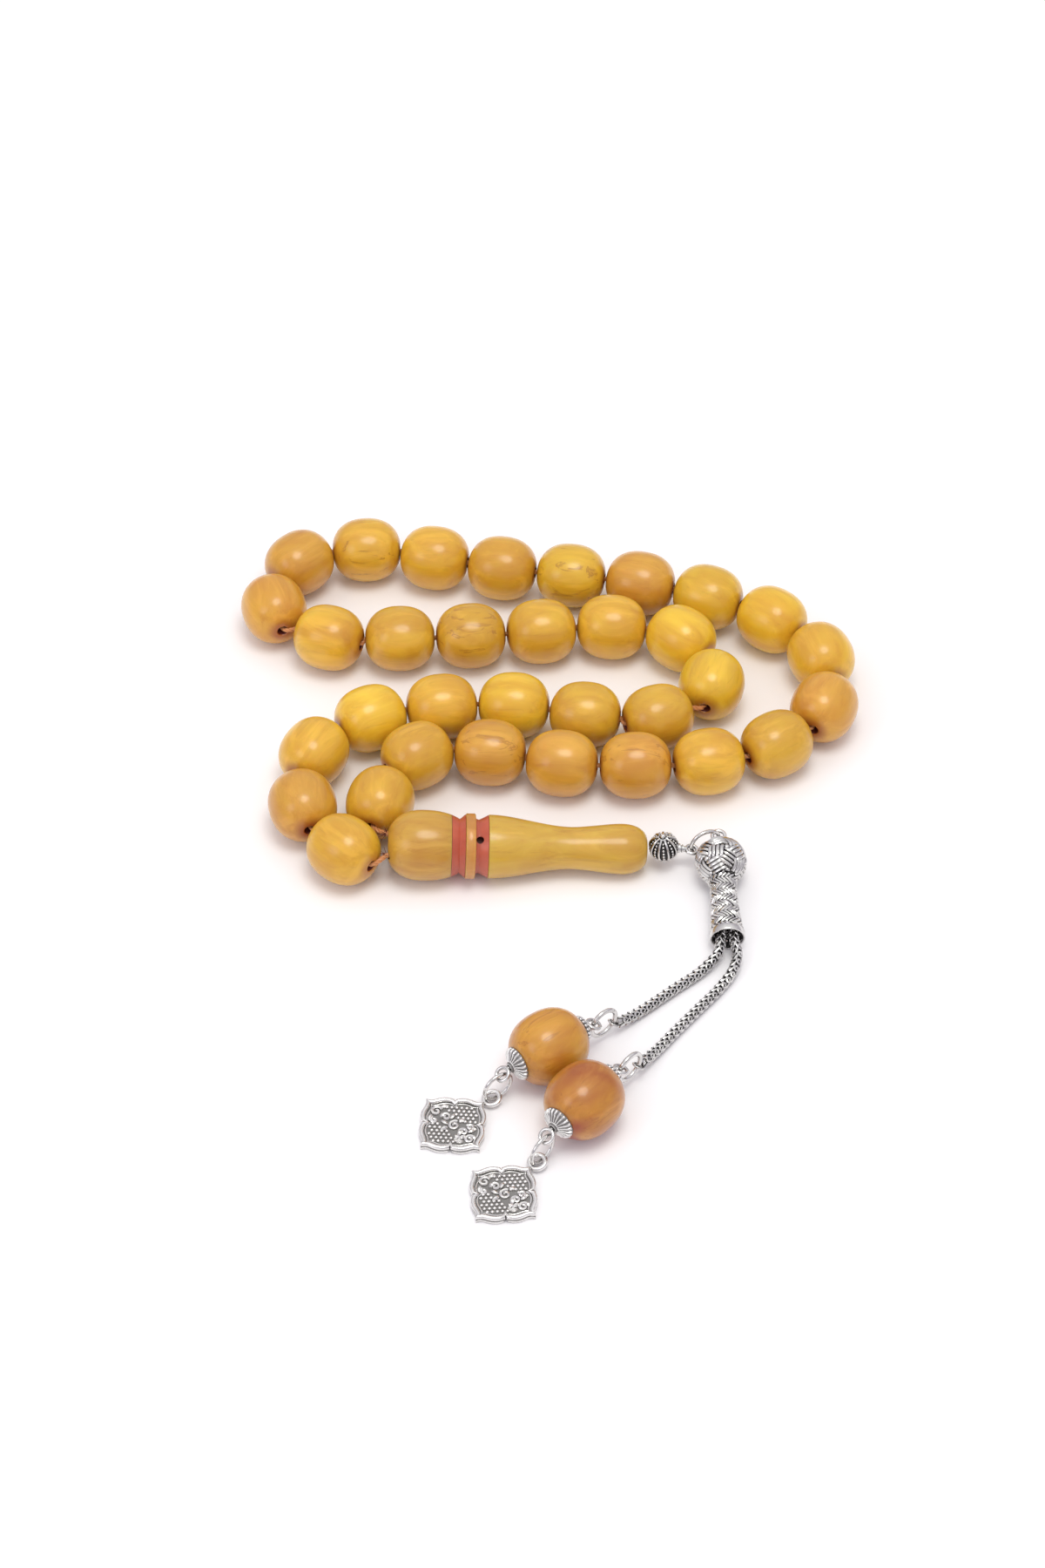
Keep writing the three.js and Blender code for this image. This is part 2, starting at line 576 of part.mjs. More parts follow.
// A square whose corners are drawn out into ears, with two lobes on each edge and a notch between.
function lobedOutline(side) {
  const outline = new THREE.Shape();
  for (let edge = 0; edge < 4; edge += 1) {
    const turn = (edge * Math.PI) / 2;
    const point = (u, v) => {
      const flat = new THREE.Vector2((u - 0.5) * side, -(0.5 + v) * side);
      return flat.rotateAround(new THREE.Vector2(), turn);
    };
    const curve = (a, b, end) => outline.bezierCurveTo(a.x, a.y, b.x, b.y, end.x, end.y);
    const swell = 2 * LOBE_BULGE;
    if (edge === 0) outline.moveTo(...point(-EAR_REACH, EAR_REACH));
    curve(point(0.12, -LOBE_BULGE), point(0.2, swell), point(0.5 - NOTCH_REACH, LOBE_FOOT));
    outline.lineTo(...point(0.5, -NOTCH_DEPTH));
    outline.lineTo(...point(0.5 + NOTCH_REACH, LOBE_FOOT));
    curve(point(0.8, swell), point(0.88, -LOBE_BULGE), point(1 + EAR_REACH, EAR_REACH));
  }
  return outline;
}

// A pendant measured from its bail's outermost wire, with the plate beyond it along X.
const bailSpan = BAIL_DIAMETER - BAIL_WIRE;
const bailHeight = ringFoot + FINE_WIRE + BAIL_PLAY + BAIL_WIRE / 2;
const bailTilt = Math.asin((bailHeight - PENDANT_RIM_HEIGHT / 2) / bailSpan);
const plateReach = bailSpan + (0.5 + EAR_REACH) * PENDANT_SIDE * Math.SQRT2;

function pendant() {
  const corners = (side) => lobedOutline(side).getPoints(3);
  const rim = new THREE.Shape(corners(PENDANT_SIDE));
  rim.holes.push(new THREE.Path(corners(PENDANT_SIDE - 2.5 * PENDANT_RIM_WIDTH)));
  const field = new THREE.Shape(corners(PENDANT_SIDE - PENDANT_RIM_WIDTH));
  const raised = new THREE.ExtrudeGeometry(rim, { depth: PENDANT_RIM_HEIGHT, bevelEnabled: false });
  const plate = new THREE.ExtrudeGeometry(field, { depth: PENDANT_THICKNESS, bevelEnabled: false });
  const bail = flatRing(BAIL_DIAMETER, BAIL_WIRE).translate(bailSpan / 2, 0, 0).rotateY(bailTilt);
  const turn = (shape) => shape.rotateZ(radians(135)).translate(plateReach, 0, 0);
  return joined(turn(raised), turn(plate), bail.translate(0, 0, bailHeight));
}

TASSELS.forEach((tassel, i) => {
  const number = i + 1;
  const side = i === 0 ? 1 : -1;
  const add = (name, shape, finish, place, heading) => {
    misbaha.add(aim(piece(`${name}_${number}`, shape, finish), place, heading));
  };

  // The chain, from the head pin's foot to just short of its end ring.
  const start = head.localToWorld(at(chainStation, (-side * CHAIN_SPACING) / 2));
  const lip = head.localToWorld(at(rimStation, (-side * CHAIN_SPACING) / 2));
  const laid = at(mouthCentre.x, mouthCentre.y, CHAIN_DIAMETER / 2);
  const route = CHAIN_ROUTES[i].map(([x, y, z]) => laid.clone().add(at(x, y, z)));
  const grip = route.at(-1);
  const backwards = route.at(-2).clone().sub(grip).normalize();
  const end = along(grip, backwards, END_RING_WIRE / 2 + LINK_GAP + EDGE / 2);
  const stops = [start, lip, ...route.slice(0, -1), end].map((stop) => stop.clone().sub(start));
  add('chain', tube(new THREE.CatmullRomCurve3(stops), CHAIN_DIAMETER, 8, 20), SILVER, start, 0);

  // The end ring stands on edge and goes through the upper loop of the bead's pin.
  const ringWay = direction(tassel.ringHeading);
  const ringCentre = along(grip, direction(tassel.ringHeading, RING_GRIP), ringSpan / 2);
  const fromGrip = direction(0, RING_GRIP).multiplyScalar(ringSpan / 2);
  const ring = uprightRing(END_RING_DIAMETER, END_RING_WIRE).translate(...fromGrip);
  add('end_ring', ring, SILVER, grip, tassel.ringHeading);

  // The pin's upper loop hangs on the ring where the ring rises to the loop's height.
  const loopHeight = tasselBeadHeight - (loopSpan / 2) * Math.sin(UPPER_DROOP);
  const ringRise = Math.asin((2 * (loopHeight - ringCentre.z)) / ringSpan);
  const hold = along(ringCentre, ringWay, (ringSpan / 2) * Math.cos(ringRise)).setZ(loopHeight);
  const pinWay = direction(tassel.heading);
  const holdReach = upperEntry + (loopSpan / 2) * Math.cos(UPPER_DROOP);
  const beadCentre = along(hold, pinWay, holdReach).setZ(tasselBeadHeight);
  const fromHold = [holdReach, 0, tasselBeadHeight - loopHeight];
  const upperCap = cap(UPPER_CAP_DIAMETER, UPPER_CAP_HEIGHT).rotateZ(Math.PI);
  const lowerCap = cap(LOWER_CAP_DIAMETER, LOWER_CAP_HEIGHT);
  add('bead_pin', beadPin().translate(...fromHold), SILVER, hold, tassel.heading);
  add('upper_cap', upperCap.translate(...fromHold), SILVER, hold, tassel.heading);
  add('lower_cap', lowerCap.translate(...fromHold), SILVER, hold, tassel.heading);
  const shape = barrelBead(TASSEL_BEAD_LENGTH, TASSEL_BEAD_DIAMETER, TASSEL_BEAD_BORE);
  add('tassel_bead', shape, AMBER, beadCentre, tassel.heading);

  // The pendant's ring hangs over the outer wire of the lower loop, and the bail lies over the ring.
  const ringReach = loopSpan * Math.cos(LOWER_DROOP);
  const lowWire = along(beadCentre, pinWay, lowerEntry + ringReach).setZ(lowHeight);
  const hung = uprightRing(PENDANT_RING_DIAMETER, FINE_WIRE).translate(0, 0, -hang);
  add('pendant_ring', hung, SILVER, lowWire, tassel.heading);
  add('pendant', pendant(), SILVER, lowWire.clone().setZ(0), tassel.pendantHeading);
});

// ---- the object's own frame ---------------------------------------------------------------------
const bounds = new THREE.Box3().setFromObject(misbaha, true);
const middle = bounds.getCenter(new THREE.Vector3());
misbaha.position.set(-middle.x, -middle.y, -bounds.min.z);

export default misbaha;
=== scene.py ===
import json
import math
import random

import bmesh
import bpy
from mathutils import Matrix, Vector


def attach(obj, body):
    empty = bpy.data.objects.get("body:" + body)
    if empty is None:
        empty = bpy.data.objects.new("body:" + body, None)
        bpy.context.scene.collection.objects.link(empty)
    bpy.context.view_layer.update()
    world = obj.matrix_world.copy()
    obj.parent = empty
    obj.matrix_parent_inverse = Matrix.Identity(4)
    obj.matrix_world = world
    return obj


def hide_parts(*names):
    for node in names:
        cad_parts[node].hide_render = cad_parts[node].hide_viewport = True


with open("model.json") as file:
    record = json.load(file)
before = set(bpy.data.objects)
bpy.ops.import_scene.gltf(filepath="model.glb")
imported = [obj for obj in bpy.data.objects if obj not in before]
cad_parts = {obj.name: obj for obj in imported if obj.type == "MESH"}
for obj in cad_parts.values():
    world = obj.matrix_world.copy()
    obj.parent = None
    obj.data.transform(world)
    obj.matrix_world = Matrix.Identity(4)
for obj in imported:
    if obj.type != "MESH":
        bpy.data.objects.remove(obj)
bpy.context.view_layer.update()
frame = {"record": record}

# Sizes are in millimetres, in the same frame as the CAD, until an object is made.
MM = 0.001
UP = Vector((0, 0, 1))
CREASE = 40
JOINTS = {joint["name"]: joint for joint in frame["record"]["behaviour"]["joints"]}


def place_of(joint):
    return Vector(JOINTS[joint]["pos_m"]) / MM


def axis_of(joint):
    return Vector(JOINTS[joint]["axis"]).normalized()


def direction(heading, rise=0.0):
    a, e = math.radians(heading), math.radians(rise)
    return Vector((math.cos(a) * math.cos(e), math.sin(a) * math.cos(e), math.sin(e)))


def aimed(place, way):
    """A matrix at a place whose X axis points along way and whose Y axis is level."""
    x = way.normalized()
    y = UP.cross(x).normalized()
    matrix = Matrix((x, y, x.cross(y))).transposed().to_4x4()
    matrix.translation = place
    return matrix


# ---- camera ---------------------------------------------------------------------------------
camera = bpy.data.objects.new("camera", bpy.data.cameras.new("camera"))
bpy.context.scene.collection.objects.link(camera)
camera.data.lens = 84
camera.data.sensor_width = 36
camera.location = Vector((-4.3, -436.0, 470.5)) * MM
camera.rotation_euler = (math.radians(44), 0, 0)
camera.data.clip_start = 0.01
bpy.context.scene.camera = camera


# ---- shapes ---------------------------------------------------------------------------------
class Shape:
    """Points and faces gathered in millimetres before they become one mesh."""

    def __init__(self):
        self.points = []
        self.faces = []
        self.finishes = []

    def grid(self, rings, closed=False, finish=0):
        start = len(self.points)
        sides = len(rings[0])
        for ring in rings:
            self.points.extend(ring)
        spans = len(rings) if closed else len(rings) - 1
        for i in range(spans):
            here = start + i * sides
            there = start + (i + 1) % len(rings) * sides
            for k in range(sides):
                after = (k + 1) % sides
                self.faces.append((here + k, here + after, there + after, there + k))
        if not closed:
            last = start + (len(rings) - 1) * sides
            self.faces.append(tuple(reversed(range(start, start + sides))))
            self.faces.append(tuple(range(last, last + sides)))
        self.finishes.extend([finish] * (len(self.faces) - len(self.finishes)))
        return self

    def turned(self, outline, segments, closed=False, ripple=None, finish=0):
        """A solid of revolution about X from [x, radius] points."""
        rings = []
        for x, radius in outline:
            ring = []
            for k in range(segments):
                angle = 2 * math.pi * k / segments
                r = radius * (ripple(x, angle) if ripple else 1)
                ring.append(Vector((x, r * math.cos(angle), r * math.sin(angle))))
            rings.append(ring)
        return self.grid(rings, closed, finish)

    def tube(self, path, radius, sides=8, closed=False, flat=1.0, finish=0):
        """A round wire along a path, or an oval one that is flat times as thick as wide."""
        count = len(path)
        rings = []
        normal = None
        for i, point in enumerate(path):
            before = path[i - 1] if i or closed else path[0]
            after = path[(i + 1) % count] if i + 1 < count or closed else path[-1]
            way = (after - before).normalized()
            if normal is None:
                normal = way.orthogonal().normalized()
            normal = (normal - way * normal.dot(way)).normalized()
            side = way.cross(normal)
            r = radius(i / (count - 1)) if callable(radius) else radius
            ring = []
            for k in range(sides):
                angle = 2 * math.pi * k / sides
                ring.append(point + normal * (r * math.cos(angle)) + side * (r * flat * math.sin(angle)))
            rings.append(ring)
        if closed:
            return self.closed_tube(rings, finish)
        return self.grid(rings, False, finish)

    def closed_tube(self, rings, finish):
        """Joins the last ring to the first where they lie closest to each other."""
        sides = len(rings[0])
        nearest = min(range(sides), key=lambda k: (rings[-1][0] - rings[0][k]).length)
        turn = [rings[0][(k + nearest) % sides] for k in range(sides)]
        twist = nearest if nearest <= sides / 2 else nearest - sides
        if twist == 0:
            return self.grid(rings, True, finish)
        return self.grid(rings + [turn], False, finish)

    def ball(self, centre, radius, steps=6, finish=0):
        rings = []
        for i in range(steps + 1):
            angle = math.pi * (i + 0.02) / (steps + 0.04)
            x, r = -radius * math.cos(angle), radius * math.sin(angle)
            rings.append([
                centre + Vector((x, r * math.cos(2 * math.pi * k / (2 * steps)),
                                 r * math.sin(2 * math.pi * k / (2 * steps))))
                for k in range(2 * steps)
            ])
        return self.grid(rings, False, finish)

    def moved(self, matrix):
        self.points = [matrix @ point for point in self.points]
        return self

    def add(self, other):
        start = len(self.points)
        self.points.extend(other.points)
        self.faces.extend(tuple(start + k for k in face) for face in other.faces)
        self.finishes.extend(other.finishes)
        return self


def ring_path(radius, count=48, matrix=None):
    """A circle in the local XY plane."""
    points = []
    for k in range(count):
        angle = 2 * math.pi * k / count
        point = Vector((radius * math.cos(angle), radius * math.sin(angle), 0))
        points.append(matrix @ point if matrix else point)
    return points


def ball_outline(radius, steps):
    """Half a circle from [-radius, 0] to [radius, 0], for a ball that is turned about X."""
    angles = [math.pi * i / steps for i in range(steps + 1)]
    return [(-radius * math.cos(angle), max(radius * math.sin(angle), 0.02)) for angle in angles]


def smooth_path(points, steps):
    """A centripetal Catmull-Rom curve through the points."""
    ends = [2 * points[0] - points[1], *points, 2 * points[-1] - points[-2]]
    path = []
    for i in range(len(points) - 1):
        p = ends[i:i + 4]
        t = [0.0]
        for a, b in zip(p, p[1:]):
            t.append(t[-1] + math.sqrt((b - a).length))
        for k in range(steps):
            u = t[1] + (t[2] - t[1]) * k / steps
            a = [p[j].lerp(p[j + 1], (u - t[j]) / (t[j + 1] - t[j])) for j in range(3)]
            b = [a[j].lerp(a[j + 1], (u - t[j]) / (t[j + 2] - t[j])) for j in range(2)]
            path.append(b[0].lerp(b[1], (u - t[1]) / (t[2] - t[1])))
    path.append(points[-1].copy())
    return path


def piece(name, shape, body, finishes, nodes=(), matrix=None):
    """Makes the mesh object, gives it its materials, and hangs it on its CAD body."""
    mesh = bpy.data.meshes.new(name)
    mesh.from_pydata([point * MM for point in shape.points], [], shape.faces)
    for finish in finishes:
        mesh.materials.append(finish)
    mesh.polygons.foreach_set("material_index", shape.finishes)
    work = bmesh.new()
    work.from_mesh(mesh)
    bmesh.ops.remove_doubles(work, verts=work.verts, dist=1e-7)
    bmesh.ops.recalc_face_normals(work, faces=work.faces)
    work.to_mesh(mesh)
    work.free()
    mesh.polygons.foreach_set("use_smooth", [True] * len(mesh.polygons))
    mesh.set_sharp_from_angle(angle=math.radians(CREASE))
    made = bpy.data.objects.new(name, mesh)
    bpy.context.scene.collection.objects.link(made)
    if matrix:
        placed = matrix.copy()
        placed.translation = matrix.translation * MM
        made.matrix_world = placed
        bpy.context.view_layer.update()
    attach(made, body)
    if nodes:
        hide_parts(*nodes)
    return made


# ---- materials ------------------------------------------------------------------------------
class Finish:
    """A node material that is built up from a Principled shader."""

    def __init__(self, name):
        self.material = bpy.data.materials.new(name)
        self.material.use_nodes = True
        self.nodes = self.material.node_tree.nodes
        self.links = self.material.node_tree.links
        self.shader = self.nodes["Principled BSDF"]
        self.coordinates = self.nodes.new("ShaderNodeTexCoord").outputs["Object"]

    def set(self, **values):
        for name, value in values.items():
            self.shader.inputs[name.replace("_", " ")].default_value = value

    def link(self, source, target):
        self.links.new(source, target)

    def noise(self, scale, detail=3.0, roughness=0.5, stretch=(1, 1, 1), offset=0.0, distortion=0.0):
        mapping = self.nodes.new("ShaderNodeMapping")
        mapping.inputs["Scale"].default_value = stretch
        mapping.inputs["Location"].default_value = (offset, offset * 0.7, -offset * 0.4)
        self.link(self.coordinates, mapping.inputs["Vector"])
        node = self.nodes.new("ShaderNodeTexNoise")
        node.inputs["Scale"].default_value = scale
        node.inputs["Detail"].default_value = detail
        node.inputs["Roughness"].default_value = roughness
        node.inputs["Distortion"].default_value = distortion
        self.link(mapping.outputs["Vector"], node.inputs["Vector"])
        return node.outputs["Fac"]

    def ramp(self, source, *stops):
        """Turns a value into colours at the given places from 0 to 1."""
        node = self.nodes.new("ShaderNodeValToRGB")
        elements = node.color_ramp.elements
        while len(elements) < len(stops):
            elements.new(0.5)
        for element, (place, colour) in zip(elements, stops):
            element.position = place
            element.color = (*colour, 1)
        self.link(source, node.inputs["Fac"])
        return node.outputs["Color"]

    def mix(self, share, first, second, kind="MIX"):
        node = self.nodes.new("ShaderNodeMix")
        node.data_type = "RGBA"
        node.blend_type = kind
        for value, socket in ((share, "Factor"), (first, "A"), (second, "B")):
            target = next(s for s in node.inputs if s.name == socket and s.enabled)
            if isinstance(value, (int, float)):
                target.default_value = value
            elif isinstance(value, tuple):
                target.default_value = (*value, 1)
            else:
                self.link(value, target)
        return next(s for s in node.outputs if s.enabled)

    def spread(self, source, low, high):
        """Maps 0 to 1 onto low to high."""
        node = self.nodes.new("ShaderNodeMapRange")
        node.inputs["To Min"].default_value = low
        node.inputs["To Max"].default_value = high
        self.link(source, node.inputs["Value"])
        return node.outputs["Result"]

    def bump(self, height, strength, distance):
        node = self.nodes.new("ShaderNodeBump")
        node.inputs["Strength"].default_value = strength
        node.inputs["Distance"].default_value = distance * MM
        self.link(height, node.inputs["Height"])
        self.link(node.outputs["Normal"], self.shader.inputs["Normal"])


def grey(value):
    return (value, value, value)


def near_bore(finish, low, high):
    """1 beside the turning axis and 0 further out than high, in metres."""
    apart = finish.nodes.new("ShaderNodeSeparateXYZ")
    flat = finish.nodes.new("ShaderNodeCombineXYZ")
    length = finish.nodes.new("ShaderNodeVectorMath")
    length.operation = "LENGTH"
    finish.link(finish.coordinates, apart.inputs["Vector"])
    finish.link(apart.outputs["Y"], flat.inputs["Y"])
    finish.link(apart.outputs["Z"], flat.inputs["Z"])
    finish.link(flat.outputs["Vector"], length.inputs[0])
    node = finish.nodes.new("ShaderNodeMapRange")
    node.interpolation_type = "SMOOTHSTEP"
    node.inputs["From Min"].default_value = low
    node.inputs["From Max"].default_value = high
    node.inputs["To Min"].default_value = 1
    node.inputs["To Max"].default_value = 0
    finish.link(length.outputs["Value"], node.inputs["Value"])
    return node.outputs["Result"]


def amber(name, light, deep, seed, cracks, spot=0.0, stain=0.0):
    """Cloudy amber resin: soft streaks along the turning axis, a few fine dark ones, gloss on top."""
    finish = Finish(name)
    clouds = finish.noise(120, 2.5, 0.5, (0.6, 1, 1), seed, 0.8)
    streaks = finish.noise(260, 5, 0.62, (0.22, 1, 1), seed + 3, 1.1)
    fine = finish.noise(620, 4, 0.6, (0.12, 1, 1), seed + 8, 0.8)
    colour = finish.mix(finish.ramp(clouds, (0.3, grey(0)), (0.68, grey(1))), light, deep)
    pale = tuple(min(1.0, c * 1.28 + 0.03) for c in light)
    dark = (deep[0] * 0.84, deep[1] * 0.7, deep[2] * 0.6)
    colour = finish.mix(finish.ramp(streaks, (0.36, grey(0.3)), (0.5, grey(0)), (0.9, grey(0))), colour, pale)
    colour = finish.mix(finish.ramp(streaks, (0.54, grey(0)), (0.74, grey(0.5))), colour, dark)
    line = finish.ramp(fine, (0.58, grey(0)), (0.64, grey(cracks)), (0.7, grey(0)))
    colour = finish.mix(line, colour, (0.34, 0.12, 0.015))
    if spot:
        blotch = finish.noise(120, 1, 0.4, (0.45, 1, 1), seed + 21)
        patch = finish.ramp(blotch, (0.56, grey(0)), (0.62, grey(spot)))
        colour = finish.mix(patch, colour, (0.3, 0.035, 0.008))
    if stain:
        bleed = finish.ramp(near_bore(finish, 0.0011, 0.0034), (0.05, grey(0)), (1.0, grey(stain)))
        colour = finish.mix(bleed, colour, (0.3, 0.055, 0.008))
    finish.link(colour, finish.shader.inputs["Base Color"])
    smears = finish.noise(340, 3, 0.6, (1, 1, 1), seed + 5)
    finish.link(finish.spread(smears, 0.34, 0.48), finish.shader.inputs["Roughness"])
    finish.bump(finish.noise(900, 2, 0.5, (1, 1, 1), seed + 9), 0.05, 0.05)
    finish.set(Subsurface_Weight=0.5, Subsurface_Scale=0.003, Subsurface_Radius=(1.0, 0.55, 0.12))
    finish.set(Coat_Weight=0.75, Coat_Roughness=0.2, Coat_IOR=1.5, Specular_IOR_Level=0.25, IOR=1.5)
    return finish.material


def coral():
    finish = Finish("coral_resin")
    clouds = finish.noise(320, 3, 0.5, (0.6, 1, 1), 2)
    colour = finish.mix(clouds, (0.36, 0.05, 0.025), (0.62, 0.13, 0.06))
    finish.link(colour, finish.shader.inputs["Base Color"])
    finish.link(finish.spread(finish.noise(500, 3), 0.25, 0.45), finish.shader.inputs["Roughness"])
    finish.bump(finish.noise(1100, 2), 0.08, 0.05)
    finish.set(Subsurface_Weight=0.15, Subsurface_Scale=0.002, Coat_Weight=0.2, Coat_Roughness=0.2)
    return finish.material


def silver(name, tone, worn, dark, depth=0.9):
    """Antiqued silver: bright where it is rubbed, finely scratched, with the hollows that ambient occlusion
    finds painted near black: partly the antique blackening, partly painted shade.
    """
    finish = Finish(name)
    tarnish = finish.noise(420, 5, 0.65, (1, 1, 1), 4, 0.5)
    bright = (tone, tone * 0.985, tone * 0.965)
    dull = (tone * 0.72, tone * 0.7, tone * 0.68)
    colour = finish.mix(finish.ramp(tarnish, (0.38, grey(0)), (0.72, grey(0.8))), bright, dull)
    # Painted shade: ambient occlusion mixes the hollows towards near black by dark; this stands partly for
    # the antique blackening.
    hollow = finish.nodes.new("ShaderNodeAmbientOcclusion")
    hollow.samples = 6
    hollow.inputs["Distance"].default_value = depth * MM
    shade = finish.ramp(hollow.outputs["AO"], (0.25, grey(dark)), (0.8, grey(0)))
    colour = finish.mix(shade, colour, (0.03, 0.028, 0.027))
    finish.link(colour, finish.shader.inputs["Base Color"])
    rubbed = finish.noise(700, 4, 0.6, (1, 1, 1), 6)
    finish.link(finish.spread(rubbed, worn * 0.6, worn * 1.7), finish.shader.inputs["Roughness"])
    finish.bump(finish.noise(1500, 3, 0.6), 0.12, 0.03)
    finish.set(Metallic=1.0)
    return finish.material


def plain(name, colour, roughness, grain, metallic=0.0):
    """One colour with a little variation and grain."""
    finish = Finish(name)
    shade = tuple(c * 0.6 for c in colour)
    mottled = finish.mix(finish.noise(500, 4, 0.6, (1, 1, 1), 1), shade, colour)
    finish.link(mottled, finish.shader.inputs["Base Color"])
    finish.link(finish.spread(finish.noise(800, 3), roughness * 0.8, roughness * 1.2),
                finish.shader.inputs["Roughness"])
    finish.bump(finish.noise(1500, 3), grain, 0.05)
    finish.set(Metallic=metallic)
    return finish.material


CORAL = coral()
SILVER = silver("silver_antique_and_painted_shade", 0.74, 0.2, 0.93)
SILVER_RING = silver("silver_polished", 0.78, 0.15, 0.5)
SILVER_RELIEF = silver("silver_relief", 0.88, 0.24, 0.5, 0.3)
SHADOWED = plain("silver_shadowed", (0.3, 0.29, 0.28), 0.45, 0.2, 0.8)
# Near-black cores inside the chains, the ribbed ball, the woven ball and the sleeve: painted shade between
# the wires.
PAINTED_SHADE_CORE = plain("painted_shade_core", (0.05, 0.047, 0.045), 0.5, 0.2, 0.6)
# Bore and hole walls in near-black red: partly cord stain, partly painted shade inside the holes.
BORE = plain("bore_stain_and_painted_shade", (0.16, 0.022, 0.012), 0.6, 0.3)
CORD = plain("cord_satin", (0.78, 0.33, 0.12), 0.42, 0.3)
FRAY = plain("cord_fray", (0.2, 0.05, 0.03), 0.6, 0.3)

GOLD = ((0.72, 0.43, 0.03), (0.61, 0.31, 0.024))
YELLOW = ((0.78, 0.50, 0.03), (0.68, 0.38, 0.022))
PEACH = ((0.67, 0.36, 0.038), (0.58, 0.26, 0.028))
HONEY = (((0.60, 0.30, 0.03), (0.44, 0.15, 0.018)), ((0.56, 0.26, 0.03), (0.36, 0.10, 0.016)))

# ---- stringing cord -------------------------------------------------------------------------
BEAD_COUNT = 33
BEAD_LENGTH = 12.7
BEAD_DIAMETER = 12.0
BEAD_BORE = 2.0
CORD_DIAMETER = 0.9
LEADER_LENGTH = 45.1
LEADER_YAW = 1.2
LEADER_RADIUS = 6.15
BARREL_WIDEST = 6.0
BULGE_RADIUS = 4.4
BULGE_STATION = 40.7
LEADER_SLOPE = math.degrees(math.asin((LEADER_RADIUS - BULGE_RADIUS) / (BULGE_STATION - BARREL_WIDEST)))
STRAND_SPLAY = 5.0
JUNCTION = 9.0
STRAND_SPACING = 1.1
BORE_CLEARANCE = 0.1
MOUTH_INSET = 0.3

ball_way = -axis_of("silver_ball_twist")
leader_way = direction(LEADER_YAW, -LEADER_SLOPE)
leader_end = place_of("silver_ball_twist")
leader_start = leader_end - leader_way * LEADER_LENGTH
leader_matrix = aimed(leader_start, leader_way)
centres = [place_of(f"bead_{i + 1:02d}_spin") for i in range(BEAD_COUNT)]
axes = [axis_of(f"bead_{i + 1:02d}_spin") for i in range(BEAD_COUNT)]


def strand_end(side):
    spots = ((JUNCTION, STRAND_SPACING / 2), (0, STRAND_SPLAY / 2))
    inner, mouth = [leader_matrix @ Vector((x, side * y, 0)) for x, y in spots]
    return [inner, inner.lerp(mouth, 0.5), mouth]


def cord_route():
    """Through every bead, a little aside in each bore towards the neighbour it bends to."""
    route = strand_end(-1)
    for i, (centre, way) in enumerate(zip(centres, axes)):
        neighbours = (
            (-1, centres[i - 1] if i else route[2]),
            (1, centres[i + 1] if i + 1 < BEAD_COUNT else strand_end(1)[2]),
        )
        for end, neighbour in neighbours:
            aside = neighbour - centre
            aside -= way * aside.dot(way)
            aside.z = 0
            slack = (BEAD_BORE - CORD_DIAMETER) / 2 - BORE_CLEARANCE
            share = min(slack / max(aside.length, 0.01), slack / (BEAD_LENGTH / 3))
            mouth = centre + way * (end * (BEAD_LENGTH / 2 - MOUTH_INSET)) + aside * share
            if end == 1:
                route.append(centre.lerp(mouth, 0.5))
            route.append(mouth)
    return route + strand_end(1)[::-1]


def rope(path, radius, plies, lay, sides=6):
    """Twisted yarns along a path, one turn in every lay."""
    shape = Shape()
    for ply in range(plies):
        turn = 2 * math.pi * ply / plies
        travelled = 0.0
        yarn = []
        for i, point in enumerate(path):
            before, after = path[max(i - 1, 0)], path[min(i + 1, len(path) - 1)]
            if i:
                travelled += (point - path[i - 1]).length
            way = (after - before).normalized()
            side = UP.cross(way).normalized()
            rise = way.cross(side)
            angle = turn + 2 * math.pi * travelled / lay
            out = side * math.cos(angle) + rise * math.sin(angle)
            yarn.append(point + out * (radius * 0.5))
        shape.tube(yarn, radius * 0.56, sides)
    return shape


def evenly(path, step):
    """The same path with a point at every step."""
    points = [path[0].copy()]
    left = step
    for a, b in zip(path, path[1:]):
        length = (b - a).length
        done = 0.0
        while length - done >= left:
            done += left
            points.append(a.lerp(b, done / length))
            left = step
        left -= length - done
    return points


cord_path = evenly(smooth_path(cord_route(), 10), 0.3)
piece("stringing_cord_twisted", rope(cord_path, CORD_DIAMETER / 2, 3, 2.6), "strand", [CORD],
      ["stringing_cord"])


def fray(side):
    """Loose fibres where a strand goes into the leader's end."""
    dice = random.Random(500 + side)
    shape = Shape()
    mouth = leader_matrix @ Vector((-0.15, side * STRAND_SPLAY / 2, 0))
    for _ in range(16):
        way = Vector((dice.uniform(-1, -0.1), dice.uniform(-0.8, 0.8), dice.uniform(-0.5, 0.8))).normalized()
        bend = Vector((dice.uniform(-1, 1), dice.uniform(-1, 1), dice.uniform(-1, 1)))
        length = dice.uniform(0.6, 1.3)
        start = mouth + way * 0.35
        path = [start + way * (length * t / 4) + bend * (0.3 * (t / 4) ** 2) for t in range(5)]
        shape.tube(path, lambda t: 0.075 - 0.05 * t, 5)
    return shape


for side in (-1, 1):
    name = "left" if side < 0 else "right"
    piece(f"stringing_cord_fray_{name}", fray(side), "strand", [FRAY])

# ---- tassel places --------------------------------------------------------------------------
RIM_STATION = 22.34
BALL_STATION = 5.74
SEAT_STATION = 9.89
head_loop = place_of("tassel_head_swing")
head_foot = (place_of("chain_1_swing") + place_of("chain_2_swing")) / 2
head_way = (head_foot - head_loop).normalized()
head_matrix = aimed(head_loop, head_way)
mouth_centre = head_loop + head_way * RIM_STATION

